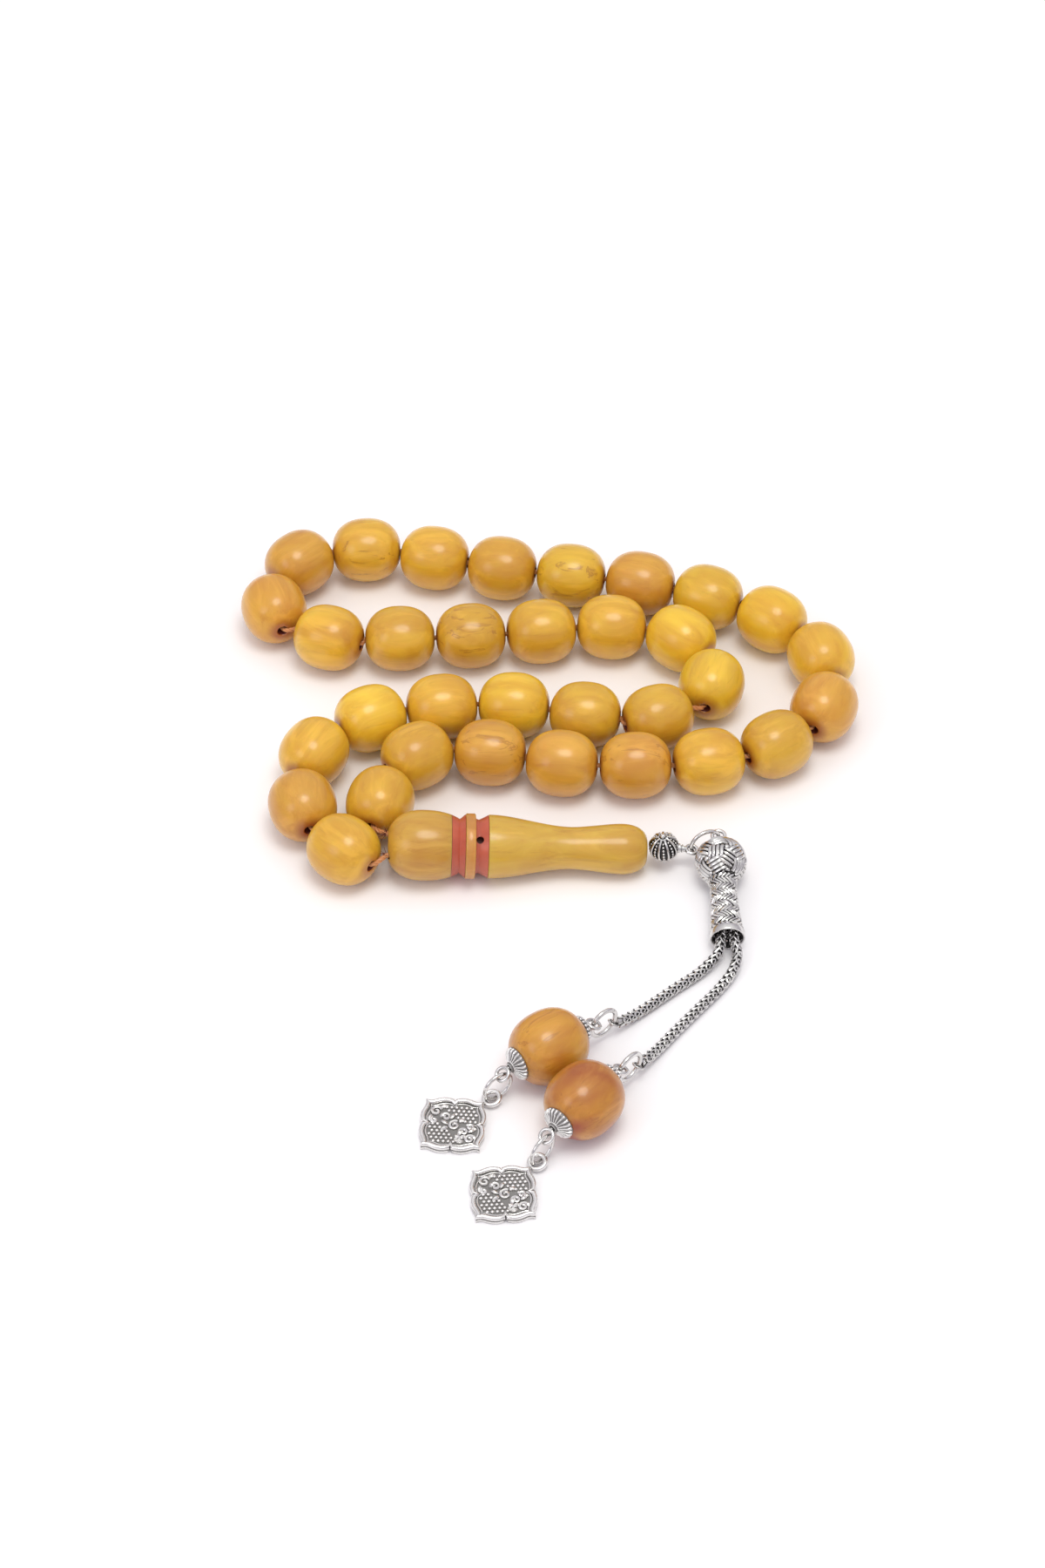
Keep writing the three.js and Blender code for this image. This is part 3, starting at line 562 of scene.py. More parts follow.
# ---- chains ---------------------------------------------------------------------------------
CHAIN_DIAMETER = 2.0
CHAIN_DEPTH = 4.0
CHAIN_CORE = 0.5
LINK_WIRE = 0.2
LINK_PITCH = 0.68
END_LOOP_RADIUS = 0.95
END_TUBE_RADIUS = 0.62
END_RING_DIAMETER = 6.0
END_RING_WIRE = 0.84
RING_HEADINGS = (220, 226)
RING_GRIP = 40
CHAIN_ROUTES = (
    ((-1.7, -2.3, 1.1), (-3.3, -4.3, 0.4), (-5.5, -6.4, 0.03), (-8.9, -9.2, 0.03), (-12.6, -12.4, 0.03),
     (-15.9, -15.2, 0.2), (-18.3, -17.3, 0.9), (-20, -18.6, 1.74)),
    ((1.6, -2.7, 1.1), (0.7, -5.8, 0.4), (-1.9, -9.7, 0.03), (-5, -13.5, 0.03), (-9.8, -19.4, 0.03),
     (-12.6, -23.1, 0.2), (-14.5, -25.7, 0.9), (-16.0, -28.0, 1.74)),
)


def foxtail(path, radius, pitch):
    """Saddle-shaped loops, each turned a quarter from the last, nested along the path."""
    shape = Shape()
    reach = radius - LINK_WIRE
    spots = evenly(path, pitch)
    for i, spot in enumerate(spots[1:-1], 1):
        way = (spots[i + 1] - spots[i - 1]).normalized()
        matrix = aimed(spot, way)
        quarter = math.pi / 2 * (i % 2) + math.pi / 4
        loop = []
        for k in range(20):
            angle = 2 * math.pi * k / 20
            lean = 0.85 * math.cos(2 * angle)
            r = reach * (1 - 0.22 * (1 - math.cos(2 * angle)) / 2)
            round_way = angle + quarter
            loop.append(matrix @ Vector((lean, r * math.cos(round_way), r * math.sin(round_way))))
        shape.tube(loop, LINK_WIRE, 6, closed=True)
    return shape


def make_chain(i):
    start = place_of(f"chain_{i + 1}_swing")
    lip = start + head_way * CHAIN_DEPTH
    route = []
    for x, y, z in CHAIN_ROUTES[i]:
        spot = mouth_centre + Vector((x, y, 0))
        spot.z = CHAIN_DIAMETER / 2 + z
        route.append(spot)
    back = (route[-2] - route[-1]).normalized()
    end = route[-1] + back * (END_RING_WIRE / 2 + 0.4)
    path = evenly(smooth_path([start, lip, *route[:-1], end], 12), 0.25)
    links = foxtail(path, CHAIN_DIAMETER / 2, LINK_PITCH)
    grip = direction(RING_HEADINGS[i], RING_GRIP)
    middle = place_of(f"end_ring_{i + 1}_swing") + back * 0.3
    links.tube(ring_path(END_LOOP_RADIUS, 32, aimed(middle, grip)), LINK_WIRE, 10, closed=True)
    links.tube([path[-8], path[-4], path[-1]], END_TUBE_RADIUS, 12)
    # A near-black core tube inside the links: painted shade between them, so the floor does not show through.
    links.tube(path, CHAIN_CORE, 8, finish=1)
    made = piece(f"chain_{i + 1}_links", links, f"chain_{i + 1}", [SILVER, PAINTED_SHADE_CORE],
                 [f"chain_{i + 1}"])


for i in range(2):
    make_chain(i)

# ---- beads ----------------------------------------------------------------------------------
BARREL_POWER = 2.3


def barrel(length, diameter, bore, seed):
    """A turned barrel with eased lips round its bore, and a bore in a finish of its own."""
    lip = bore / 2 + 0.28
    power = 2 / BARREL_POWER
    first = math.asin((2 * lip / diameter) ** (1 / power))
    reach = length / 2 / math.cos(first) ** power
    outline = []
    steps = 30
    for i in range(steps + 1):
        angle = first + (math.pi - 2 * first) * i / steps
        across = math.cos(angle)
        x = -math.copysign(reach * abs(across) ** power, across)
        outline.append((x, diameter / 2 * math.sin(angle) ** power))
    ease = 0.14
    end = length / 2
    outline += [(end - 0.02, bore / 2 + 0.1), (end - ease, bore / 2)]
    skin = [(-end + ease, bore / 2), (-end + 0.02, bore / 2 + 0.1), *outline]
    dice = random.Random(seed)
    phase, swell = dice.uniform(0, 6.28), dice.uniform(0.002, 0.005)

    def uneven(x, angle):
        return 1 - swell + swell * math.cos(2 * angle + phase + x * 0.1)

    shape = Shape().turned(skin, 64, ripple=uneven)
    del shape.faces[-2:], shape.finishes[-2:]
    hole = Shape().turned([(-end + ease, bore / 2), (0, bore / 2), (end - ease, bore / 2)], 64, ripple=uneven,
                          finish=1)
    del hole.faces[-2:], hole.finishes[-2:]
    return shape.add(hole)


YELLOW_BEADS = {4, 6, 9, 10, 21, 23, 24}
PEACH_BEADS = {2, 16, 17, 22, 26, 29, 30, 31}
CRACKED_BEADS = {13, 18, 21, 29, 31}
for i in range(BEAD_COUNT):
    number = i + 1
    tint = YELLOW if number in YELLOW_BEADS else PEACH if number in PEACH_BEADS else GOLD
    dice = random.Random(100 + number)
    warmth = dice.uniform(0.93, 1.06)
    light, deep = [tuple(c * warmth for c in shade) for shade in tint]
    skin = amber(f"amber_{number:02d}", light, deep, number * 1.37, 0.6 if number in CRACKED_BEADS else 0.15,
                 stain=dice.uniform(0.5, 0.95))
    name = f"bead_{number:02d}"
    piece(f"{name}_turned", barrel(BEAD_LENGTH, BEAD_DIAMETER, BEAD_BORE, number), name,
          [skin, BORE], [name], aimed(centres[i], axes[i]))

# ---- leader ---------------------------------------------------------------------------------
BARREL_TAIL = 9.0
LEADER_BORE = 2.7
PEG_STATION = 15.85
PEG_RADIUS = 0.65


def leader_radius(x):
    head = BARREL_WIDEST / (1 - (2.5 / LEADER_RADIUS) ** BARREL_POWER) ** (1 / BARREL_POWER)
    share = abs(x - BARREL_WIDEST) / (head if x < BARREL_WIDEST else BARREL_TAIL)
    return LEADER_RADIUS * (1 - share ** BARREL_POWER) ** (1 / BARREL_POWER)


def bezier(a, b, c, d, steps):
    points = []
    for i in range(steps + 1):
        t = i / steps
        s = 1 - t
        points.append(tuple(s ** 3 * a[k] + 3 * s * s * t * b[k] + 3 * s * t * t * c[k] + t ** 3 * d[k]
                            for k in range(2)))
    return points


def drill(target, shape):
    """Cuts a shape out of a piece's mesh."""
    tool_mesh = bpy.data.meshes.new("drill")
    tool_mesh.from_pydata([point * MM for point in shape.points], [], shape.faces)
    # The cut walls take the near-black bore colour: painted shade in the holes.
    tool_mesh.materials.append(BORE)
    tool = bpy.data.objects.new("drill", tool_mesh)
    bpy.context.scene.collection.objects.link(tool)
    work = bmesh.new()
    work.from_mesh(tool_mesh)
    bmesh.ops.recalc_face_normals(work, faces=work.faces)
    work.to_mesh(tool_mesh)
    work.free()
    tool.matrix_world = target.matrix_world
    modifier = target.modifiers.new("hole", "BOOLEAN")
    modifier.object = tool
    modifier.operation = "DIFFERENCE"
    modifier.solver = "EXACT"
    modifier.material_mode = "TRANSFER"
    bpy.context.view_layer.update()
    cut = bpy.data.meshes.new_from_object(target.evaluated_get(bpy.context.evaluated_depsgraph_get()))
    target.modifiers.clear()
    target.data = cut
    bpy.data.objects.remove(tool)


LEADER_AMBER = amber("amber_leader", (0.64, 0.41, 0.05), (0.55, 0.30, 0.032), 91, 0.25)
BARREL_AMBER = amber("amber_barrel", (0.60, 0.35, 0.045), (0.50, 0.24, 0.03), 77, 0.25)
DISC_AMBER = amber("amber_disc", (0.62, 0.30, 0.06), (0.52, 0.22, 0.04), 57, 0.2)


def leader_piece(name, outline, finish):
    low, high = outline[0][0], outline[-1][0]
    closed = [*outline, (high, LEADER_BORE / 2), (low, LEADER_BORE / 2)]
    return piece(f"{name}_turned", Shape().turned(closed, 96, closed=True), "strand", [finish, BORE],
                 [name], leader_matrix)


def make_leader():
    stations = [0, 0.08, 0.2, 0.4, 0.7, 1.1, 1.6, 2.2, 3, 4, 5, 6, 7, 8, 9, 9.8, 10.5, 10.95]
    outline = [(x, leader_radius(x)) for x in stations]
    closed = [(0, 0.02), *outline, (10.95, LEADER_BORE / 2), (8, LEADER_BORE / 2), (8, 0.02)]
    barrel_piece = piece("leader_barrel_turned", Shape().turned(closed, 96), "strand",
                         [BARREL_AMBER, BORE], ["leader_barrel"], leader_matrix)
    for side in (-1, 1):
        mouth = Vector((0, side * STRAND_SPLAY / 2, 0))
        meeting = Vector((JUNCTION, side * STRAND_SPACING / 2, 0))
        way = (meeting - mouth).normalized()
        drill(barrel_piece, Shape().tube([mouth - way * 2, meeting - way * 1.5], 0.8, 20))
    leader_piece("leader_collar_1", [(11.0, leader_radius(11.0)), (12.0, leader_radius(12.0)), (12.35, 4.72),
                                     (12.6, 4.85), (13.35, 5.5)], CORAL)
    leader_piece("leader_disc", [(13.4, 5.5), (13.47, 5.62), (13.6, 5.7), (14.95, 5.7), (15.08, 5.62),
                                 (15.15, 5.5)], DISC_AMBER)
    collar = leader_piece("leader_collar_2", [(15.2, 4.85), (15.6, 4.66), (15.8, 4.66), (16.4, 4.95),
                                              (17.35, 5.45)], CORAL)
    lean = Vector((0, -0.5, 0.866))
    foot = Vector((PEG_STATION, 0, 0))
    drill(collar, Shape().tube([foot + lean * 3.2, foot + lean * 7], PEG_RADIUS, 24))
    waist, thin, bulge, neck = 31.9, 3.675, BULGE_STATION, 14.5 / 3
    outline = bezier((17.4, 5.55), (17.4 + neck, 5.55), (waist - neck, thin), (waist, thin), 20)
    outline += bezier((waist, thin), (waist + neck / 2, thin), (bulge - neck / 2, BULGE_RADIUS),
                      (bulge, BULGE_RADIUS), 12)[1:]
    outline += bezier((bulge, BULGE_RADIUS), (bulge + 2.75, BULGE_RADIUS), (LEADER_LENGTH, 3.14),
                      (LEADER_LENGTH, 1.55), 14)[1:]
    outline[0] = (17.4, 5.45)
    outline.insert(1, (17.48, 5.55))
    leader_piece("leader_body", outline, LEADER_AMBER)


make_leader()

# ---- silver ball and rings ------------------------------------------------------------------
FINE_WIRE = 0.7
BALL_RADIUS = 2.7


def wire_ring(name, radius, wire, matrix, body, node):
    """A round wire ring in the matrix's XY plane."""
    shape = Shape().tube(ring_path(radius, 64), wire / 2, 16, closed=True)
    return piece(name, shape, body, [SILVER_RING], [node], matrix)


def upright(matrix):
    return matrix @ Matrix.Rotation(math.pi / 2, 4, "X")


def make_silver_ball():
    centre = leader_end + ball_way * (BALL_RADIUS + 0.3)
    matrix = aimed(centre, ball_way)
    shape = Shape()
    # A near-black ball under the ribs: painted shade between them.
    shape.turned(ball_outline(BALL_RADIUS - 0.45, 24), 40, finish=1)
    ribs = 9
    for k in range(ribs):
        angle = 2 * math.pi * k / ribs
        path = []
        for i in range(19):
            fall = math.radians(14 + 152 * i / 18)
            r = BALL_RADIUS - 0.22
            path.append(Vector((r * math.sin(fall) * math.cos(angle), r * math.sin(fall) * math.sin(angle),
                                r * math.cos(fall))))
        shape.tube(path, 0.22, 8)
        half = angle + math.pi / ribs
        for i in range(9):
            fall = math.radians(34 + 112 * i / 8)
            r = BALL_RADIUS - 0.3
            out = math.sin(fall)
            spot = Vector((out * math.cos(half), out * math.sin(half), math.cos(fall))) * r
            shape.ball(spot, 0.15 + 0.1 * out, 5)
    for z in (-1, 1):
        shape.ball(Vector((0, 0, z * (BALL_RADIUS - 0.12))), 0.5, 8)
        level = Matrix.Translation((0, 0, z * (BALL_RADIUS - 0.3)))
        shape.tube(ring_path(0.72, 32, level), 0.16, 8, closed=True)
    neck_point = matrix.inverted() @ place_of("jump_ring_swing")
    neck_way = neck_point.normalized()
    reach = neck_point.length
    shape.tube([neck_way * (BALL_RADIUS - 0.5), neck_way * (reach - 0.95)], lambda t: 0.62 - 0.12 * t, 16)
    shape.tube([neck_way * (BALL_RADIUS - 0.3), neck_way * (BALL_RADIUS + 0.12)], 0.85, 20)
    shape.tube([neck_way * (BALL_RADIUS + 0.45), neck_way * (BALL_RADIUS + 0.62)], 0.72, 20)
    small = aimed(neck_point, neck_way)
    shape.tube(ring_path(0.95, 40, small), 0.35, 12, closed=True)
    piece("silver_ball_ribbed", shape, "silver_ball", [SILVER, PAINTED_SHADE_CORE], ["silver_ball"], matrix)


def make_jump_ring():
    near, far = place_of("jump_ring_swing"), place_of("tassel_head_swing")
    matrix = upright(aimed((near + far) / 2, far - near))
    wire_ring("jump_ring_wire", (far - near).length / 2, FINE_WIRE, matrix, "jump_ring", "jump_ring")


make_silver_ball()
make_jump_ring()

# ---- woven ball and sleeve ------------------------------------------------------------------
WOVEN_RADIUS = 4.5
WOVEN_TURN, WOVEN_TILT = 24, 17


def woven_ball():
    """Six bands of four wires round the axes of an icosahedron, each over one and under the next."""
    golden = (1 + math.sqrt(5)) / 2
    corners = ((0, 1, golden), (0, -1, golden), (1, golden, 0), (-1, golden, 0), (golden, 0, 1),
               (-golden, 0, 1))
    poles = [Vector(corner).normalized() for corner in corners]
    bands = []
    for i, pole in enumerate(poles):
        others = [other for k, other in enumerate(poles) if k != i]
        x = pole.cross(others[0]).normalized()
        bands.append((pole, x, pole.cross(x)))
    signs = woven_signs(poles, bands)
    shape = Shape()
    lift, wires, gap = 0.26, 4, 0.68
    for (pole, x, y), sign in zip(bands, signs):
        for w in range(wires):
            offset = (w - (wires - 1) / 2) * gap
            path = []
            for k in range(120):
                angle = 2 * math.pi * k / 120
                wave = math.tanh(2.2 * math.cos(5 * angle)) / math.tanh(2.2)
                r = WOVEN_RADIUS - 0.27 - lift + lift * sign * wave
                level = math.sqrt(max(r * r - offset * offset, 0))
                path.append(pole * offset + (x * math.cos(angle) + y * math.sin(angle)) * level)
            shape.tube(path, 0.34, 8, closed=True, flat=0.85)
    for pole in poles:
        for side in (-1, 1):
            shape.ball(pole * (side * (WOVEN_RADIUS - 0.85)), 0.62, 7)
    # A near-black ball inside the bands: painted shade between the wires.
    shape.turned(ball_outline(WOVEN_RADIUS - 0.95, 20), 32, finish=1)
    return shape


def woven_signs(poles, bands):
    """Which way up each band starts, so that it is over where its neighbour is under."""
    def height(k, spot):
        x, y = bands[k][1:]
        return math.cos(5 * math.atan2(spot.dot(y), spot.dot(x)))

    signs = [1] * len(poles)
    for k in range(1, len(poles)):
        spot = poles[0].cross(poles[k]).normalized()
        signs[k] = -1 if height(0, spot) * height(k, spot) > 0 else 1
    return signs


def sleeve_radius(s):
    """The woven sleeve's outer radius from its seat, 0, to its rim band, 1."""
    return 2.35 + 0.62 * s ** 1.2 - 0.16 * math.sin(math.pi * s) + 0.25 * max(0, 0.12 - s) / 0.12


def make_sleeve():
    """Strands in fours, plaited one group over and one under, round a near-black tube that is painted shade
    inside the plait.
    """
    shape = Shape()
    low, high = SEAT_STATION + 0.1, RIM_STATION - 1.25
    groups, strands, turns = 5, 4, 0.9
    spacing = 2 * math.pi / groups / (strands + 0.35)
    for hand in (-1, 1):
        for g in range(groups * strands):
            start = 2 * math.pi * (g // strands) / groups + spacing * (g % strands - (strands - 1) / 2)
            path = []
            for k in range(101):
                s = k / 100
                angle = hand * 2 * math.pi * turns * s + start
                wave = math.tanh(2.5 * hand * math.cos(2 * math.pi * turns * groups * s)) / math.tanh(2.5)
                r = sleeve_radius(s) - 0.24 - 0.2 * (1 - wave) + 0.02
                x = low + (high - low) * s
                path.append(Vector((x, r * math.cos(angle), r * math.sin(angle))))
            shape.tube(path, 0.25, 6)
    # The core is near-black: painted shade inside the plait.
    core = [(SEAT_STATION, 0.95), (SEAT_STATION, 2.0)]
    core += [(low + (high - low) * i / 12, sleeve_radius(i / 12) - 0.5) for i in range(13)]
    rim = RIM_STATION
    core += [(rim - 0.6, 2.75), (rim - 0.6, 2.66), (rim - 1.4, 2.6), (rim - 7, 1.8), (rim - 7, 0.95)]
    shape.turned(core, 40, closed=True, finish=1)
    band = [(rim - 1.3, 2.72), (rim - 1.28, 2.95), (rim - 1.15, 3.03), (rim - 0.2, 3.05), (rim - 0.06, 3.0),
            (rim, 2.88), (rim - 0.05, 2.72), (rim - 0.5, 2.68)]
    shape.turned(band, 64, closed=True)
    piece("woven_sleeve_plaited", shape, "tassel_head", [SILVER, PAINTED_SHADE_CORE], ["woven_sleeve"],
          head_matrix)


def make_head():
    tilt = Matrix.Rotation(math.radians(WOVEN_TILT), 4, "X")
    turn = Matrix.Rotation(math.radians(WOVEN_TURN), 4, "Z") @ tilt
    shape = woven_ball().moved(turn)
    piece("woven_ball_plaited", shape, "tassel_head", [SILVER, PAINTED_SHADE_CORE], ["woven_ball"],
          head_matrix @ Matrix.Translation((BALL_STATION, 0, 0)))
    make_sleeve()
    pin = Shape().tube(ring_path(1.1, 40), 0.35, 12, closed=True)
    pin.turned([(0.95, 0.45), (17.8, 0.45)], 16)
    pin.turned([(17.54, 1.95), (18.04, 1.95)], 32)
    pin.turned([(1.15, 0.75), (1.3, 0.8), (1.45, 0.6)], 20)
    piece("head_pin_wire", pin, "tassel_head", [SILVER_RING], ["head_pin"], head_matrix)


make_head()

# ---- tassels --------------------------------------------------------------------------------
TASSEL_BEAD_LENGTH = 13.1
TASSEL_BEAD_DIAMETER = 12.4
TASSEL_BEAD_BORE = 1.6
CAP_GAP = 0.12
PENDANT_RING_RADIUS = 2.6
RING_PLAY = 0.04
PENDANT_HEADINGS = (220.7, 229.5)
PENDANT_SIDE = 9.6
EAR_REACH = 0.02
LOOP_SPAN = 2.3
PIN_WIRE = 0.66
UPPER_DROOP, LOWER_DROOP = 25, 35
UPPER_CAP_HEIGHT, LOWER_CAP_HEIGHT = 0.9, 1.3
upper_entry = TASSEL_BEAD_LENGTH / 2 + 2 * CAP_GAP + PIN_WIRE / 2 + UPPER_CAP_HEIGHT
lower_entry = TASSEL_BEAD_LENGTH / 2 + 2 * CAP_GAP + PIN_WIRE / 2 + LOWER_CAP_HEIGHT


def bead_face(radius):
    """How far along the tassel bead's axis its surface is at that radius."""
    taper = (1 - (2 * radius / TASSEL_BEAD_DIAMETER) ** BARREL_POWER) ** (1 / BARREL_POWER)
    lip = (1 - (2 * 1.05 / TASSEL_BEAD_DIAMETER) ** BARREL_POWER) ** (1 / BARREL_POWER)
    return min(TASSEL_BEAD_LENGTH / 2 / lip * taper, TASSEL_BEAD_LENGTH / 2)


def bead_cap(radius, height, flutes, entry_side):
    """A pressed cap: a fluted skirt on the bead, a grain at each rib's foot, and two wire collars."""
    shape = Shape()
    tip = TASSEL_BEAD_LENGTH / 2 + CAP_GAP + height
    inner = [(bead_face(radius * t) + CAP_GAP, max(radius * t, 0.45)) for t in (1, 0.85, 0.7, 0.5, 0.3, 0.1)]
    rim_x = inner[0][0]
    outer = [(tip, 0.45), (tip, 0.8), (tip - 0.12, 0.92), (tip - 0.35, 0.85), (tip - 0.42, 1.0),
             (rim_x + 0.95, radius * 0.62), (rim_x + 0.72, radius * 0.82), (rim_x + 0.42, radius * 0.97),
             (rim_x + 0.1, radius)]
    sunk = [(x, r - 0.12 if r > 1.3 else r) for x, r in outer]
    shape.turned([*inner, *sunk], 48, closed=True, finish=1)
    for k in range(flutes):
        angle = 2 * math.pi * k / flutes
        out = Vector((0, math.cos(angle), math.sin(angle)))
        stops = ((tip - 0.38, 0.98), (rim_x + 0.92, radius * 0.66), (rim_x + 0.62, radius * 0.86),
                 (rim_x + 0.22, radius - 0.2))
        rib = [Vector((x, 0, 0)) + out * r for x, r in stops]
        shape.tube(smooth_path(rib, 4), lambda t: 0.09 + 0.16 * t, 8)
        shape.ball(rib[-1], 0.27, 5)
    for x, r, wire in ((tip - 0.4, 0.95, 0.15), (tip - 0.08, 0.68, 0.11)):
        angles = [2 * math.pi * k / 32 for k in range(32)]
        collar = [Vector((x, r * math.cos(angle), r * math.sin(angle))) for angle in angles]
        shape.tube(collar, wire, 8, closed=True)
    if entry_side < 0:
        shape.moved(Matrix.Rotation(math.pi, 4, "Z"))
    return shape


def droop_ring(x, span, droop):
    """A flat ring that starts at x and droops away from there."""
    side = 1 if x > 0 else -1
    tilt = Matrix.Rotation(math.radians(droop) * side, 4, "Y")
    return Matrix.Translation((x, 0, 0)) @ tilt @ Matrix.Translation((side * span / 2, 0, 0))


def make_pin():
    shape = Shape().turned([(-upper_entry - 0.1, PIN_WIRE / 2), (lower_entry + 0.1, PIN_WIRE / 2)], 16)
    for x, droop in ((-upper_entry, UPPER_DROOP), (lower_entry, LOWER_DROOP)):
        matrix = droop_ring(x, LOOP_SPAN, droop)
        shape.tube(ring_path(LOOP_SPAN / 2, 40, matrix), PIN_WIRE / 2, 12, closed=True)
    return shape


def lobed(side, steps=9):
    """A square with its corners drawn out into ears, and two lobes on each edge with a notch between."""
    points = []
    for edge in range(4):
        turn = Matrix.Rotation(edge * math.pi / 2, 2)
        marks = [*bezier((-0.02, 0.02), (0.12, -0.07), (0.2, 0.14), (0.46, 0.05), steps), (0.5, -0.02),
                 *bezier((0.54, 0.05), (0.8, 0.14), (0.88, -0.07), (1.02, 0.02), steps)]
        for u, v in marks[:-1]:
            spot = turn @ Vector(((u - 0.5) * side, -(0.5 + v) * side))
            points.append(Vector((spot.x, spot.y, 0)))
    return points


def slab(shape, outline, low, high, finish=0):
    rings = [[Vector((p.x, p.y, z)) for p in outline] for z in (low, high)]
    return shape.grid(rings, False, finish)


def scroll(centre, radius, start, turns, z, wire):
    """A flat spiral that thins towards its eye."""
    path = []
    for k in range(29):
        t = k / 28
        angle = math.radians(start) + turns * 2 * math.pi * t
        r = radius * (1 - 0.82 * t)
        path.append(Vector((centre[0] + r * math.cos(angle), centre[1] + r * math.sin(angle), z)))
    return Shape().tube(path, lambda t: wire * (1 - 0.35 * t), 7)


def leaf(spot, heading, length, z):
    """A pointed leaf with a raised back."""
    way = direction(heading)
    path = [Vector((spot[0], spot[1], z)) + way * (length * k / 8) for k in range(9)]
    return Shape().tube(path, lambda t: 0.04 + 0.34 * math.sin(math.pi * (0.12 + 0.86 * t)), 7)


# Scrolls and leaves wander down the band from the upper left corner to the lower right one.
SCROLLS = ((-2.9, 2.6, 0.95, 20, 1.3), (-1.2, 1.5, 0.8, 200, -1.3), (0.3, -0.2, 0.95, 60, 1.4),
           (1.9, -1.5, 0.85, 240, -1.3), (3.0, -2.9, 0.8, 40, 1.3), (-3.1, 0.7, 0.55, 120, 1.2),
           (2.9, -0.4, 0.6, 300, 1.2), (0.9, -3.0, 0.6, 120, -1.2))
LEAVES = ((-2.2, 3.4, 20, 1.3), (-3.6, 1.7, 250, 1.2), (-1.9, 0.6, 330, 1.3), (-0.4, 1.1, 60, 1.3),
          (-0.8, -0.6, 210, 1.3), (1.0, 0.9, 350, 1.2), (1.1, -1.1, 290, 1.2), (2.4, -2.3, 200, 1.3),
          (2.7, -1.5, 30, 1.2), (3.7, -2.1, 280, 1.0), (2.0, -3.4, 190, 1.2), (-2.0, 2.2, 300, 1.0))


def pendant_plate():
    """A lobed plate in its own square frame, with the bail's corner at plus X and plus Y."""
    shape = Shape()
    slab(shape, lobed(PENDANT_SIDE - 0.35), 0.02, 0.85, finish=1)
    rim = [Vector((p.x, p.y, 1.08)) for p in lobed(PENDANT_SIDE - 0.8)]
    shape.tube(rim, 0.41, 10, closed=True)
    slab(shape, lobed(PENDANT_SIDE - 0.3), 0.02, 0.5)
    inner = [Vector((p.x, p.y, 0.95)) for p in lobed(PENDANT_SIDE - 2.0)]
    shape.tube(inner, 0.13, 6, closed=True)
    for row in range(-5, 6):
        for column in range(-5, 6):
            x = 0.82 * column + 0.41 * (row % 2)
            y = 0.71 * row
            in_field = abs(x) < 3.85 and abs(y) < 3.85
            off_band = abs(x + y) > 1.9 and abs(x * y) < 11.5
            if in_field and off_band:
                shape.ball(Vector((x, y, 0.92)), 0.33, 5)
    for x, y, radius, start, turns in SCROLLS:
        shape.add(scroll((x, y), radius, start, turns, 1.0, 0.3))
    for x, y, heading, length in LEAVES:
        shape.add(leaf((x, y), heading, length, 1.0))
    return shape


def make_pendant(i):
    body = f"pendant_{i + 1}"
    hook = place_of(f"pendant_{i + 1}_swing")
    origin = Vector((hook.x, hook.y, 0))
    matrix = aimed(origin, direction(PENDANT_HEADINGS[i]))
    bail_span, bail_height, bail_wire = 2.66, 1.28, 0.84
    reach = bail_span + (0.5 + EAR_REACH) * PENDANT_SIDE * math.sqrt(2)
    place = Matrix.Translation((reach, 0, 0)) @ Matrix.Rotation(math.radians(135), 4, "Z")
    shape = pendant_plate().moved(place)
    tilt = math.asin((bail_height - 0.75) / bail_span)
    bail = Matrix.Translation((0, 0, bail_height)) @ Matrix.Rotation(tilt, 4, "Y")
    bail = bail @ Matrix.Translation((bail_span / 2, 0, 0))
    shape.tube(ring_path(bail_span / 2, 40, bail), bail_wire / 2, 12, closed=True)
    piece(f"pendant_{i + 1}_relief", shape, body, [SILVER_RELIEF, SHADOWED], [body], matrix)


def make_tassel(i):
    n = i + 1
    centre, way = place_of(f"tassel_bead_{n}_spin"), axis_of(f"tassel_bead_{n}_spin")
    bead_matrix = aimed(centre, way)
    skin = amber(f"amber_tassel_{n}", *HONEY[i], 40 + 7 * n, 0.6, 0.9, 0.8)
    bead = barrel(TASSEL_BEAD_LENGTH, TASSEL_BEAD_DIAMETER, TASSEL_BEAD_BORE, 60 + n)
    piece(f"tassel_bead_{n}_turned", bead, f"tassel_bead_{n}", [skin, BORE], [f"tassel_bead_{n}"],
          bead_matrix)
    piece(f"bead_pin_{n}_wire", make_pin(), f"bead_pin_{n}", [SILVER_RING], [f"bead_pin_{n}"],
          bead_matrix)
    piece(f"upper_cap_{n}_pressed", bead_cap(2.3, UPPER_CAP_HEIGHT, 18, -1), f"bead_pin_{n}",
          [SILVER_RELIEF, SHADOWED], [f"upper_cap_{n}"], bead_matrix)
    piece(f"lower_cap_{n}_pressed", bead_cap(2.9, LOWER_CAP_HEIGHT, 22, 1), f"bead_pin_{n}",
          [SILVER_RELIEF, SHADOWED], [f"lower_cap_{n}"], bead_matrix)
    grip = place_of(f"end_ring_{n}_swing")
    half = (END_RING_DIAMETER - END_RING_WIRE) / 2
    ring_way = direction(RING_HEADINGS[i])
    ring_centre = grip + direction(RING_HEADINGS[i], RING_GRIP) * half
    wire_ring(f"end_ring_{n}_wire", half, END_RING_WIRE, upright(aimed(ring_centre, ring_way)),
              f"end_ring_{n}", f"end_ring_{n}")
    low_wire = place_of(f"pendant_ring_{n}_swing")
    hang = PENDANT_RING_RADIUS - (PIN_WIRE + FINE_WIRE) / 2 - RING_PLAY
    hung = upright(aimed(low_wire - UP * hang, way))
    wire_ring(f"pendant_ring_{n}_wire", PENDANT_RING_RADIUS, FINE_WIRE, hung, f"pendant_ring_{n}",
              f"pendant_ring_{n}")
    make_pendant(i)


for i in range(2):
    make_tassel(i)

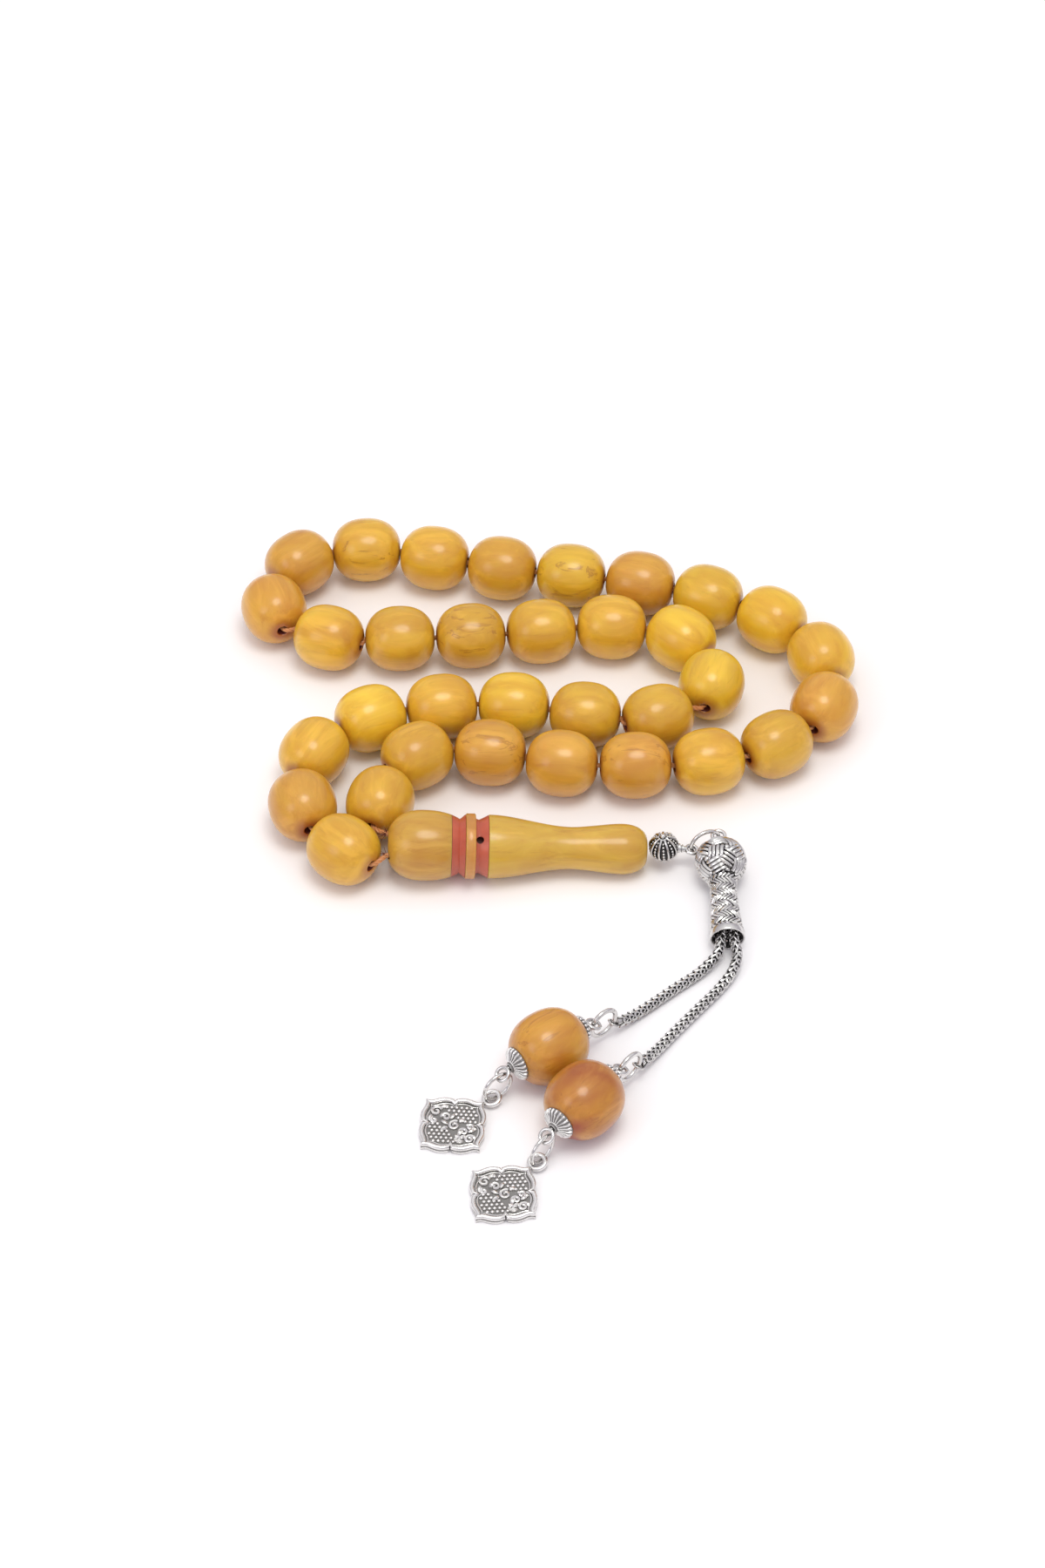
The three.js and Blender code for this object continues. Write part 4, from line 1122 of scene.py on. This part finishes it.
# ---- floor and light ------------------------------------------------------------------------
floor_mesh = bpy.data.meshes.new("floor")
FLOOR_HALF = 1.5
floor_corners = [(x * FLOOR_HALF, y * FLOOR_HALF, 0) for x, y in ((-1, -1), (1, -1), (1, 1), (-1, 1))]
floor_mesh.from_pydata(floor_corners, [], [(0, 1, 2, 3)])
floor = bpy.data.objects.new("floor", floor_mesh)
floor.location.z = -0.00005
bpy.context.scene.collection.objects.link(floor)
paper = Finish("white_paper")
paper_tone = paper.mix(paper.noise(9, 3), (0.93, 0.915, 0.93), (0.95, 0.94, 0.95))
paper.link(paper_tone, paper.shader.inputs["Base Color"])
paper.set(Roughness=0.9, Specular_IOR_Level=0.1)
floor_mesh.materials.append(paper.material)


def softbox(name, place, target, size, power, colour):
    light = bpy.data.lights.new(name, "AREA")
    light.shape = "DISK"
    light.size = size
    light.energy = power
    light.color = colour
    lamp = bpy.data.objects.new(name, light)
    lamp.location = place
    lamp.rotation_euler = (Vector(target) - Vector(place)).to_track_quat("-Z", "Y").to_euler()
    bpy.context.scene.collection.objects.link(lamp)


softbox("key", (0.06, -0.12, 0.88), (0, 0, 0), 0.42, 2.6, (1.0, 1.0, 0.95))
softbox("fill", (-0.7, -0.5, 0.6), (0, 0, 0), 0.5, 1.1, (0.97, 0.95, 1.0))
world = bpy.data.worlds.new("studio")
world.use_nodes = True
bpy.context.scene.world = world
sky = world.node_tree.nodes
ramp = sky.new("ShaderNodeValToRGB")
split = sky.new("ShaderNodeSeparateXYZ")
where = sky.new("ShaderNodeTexCoord")
world.node_tree.links.new(where.outputs["Generated"], split.inputs["Vector"])
world.node_tree.links.new(split.outputs["Z"], ramp.inputs["Fac"])
world.node_tree.links.new(ramp.outputs["Color"], sky["Background"].inputs["Color"])
for element, (spot, tone) in zip((*ramp.color_ramp.elements, ramp.color_ramp.elements.new(0.5)),
                                 ((0.0, 0.45), (1.0, 0.9), (0.4, 0.6))):
    element.position = spot
    element.color = (tone, tone * 0.955, tone * 1.05, 1)
sky["Background"].inputs["Strength"].default_value = 1.08
bpy.context.scene.view_settings.view_transform = "Standard"
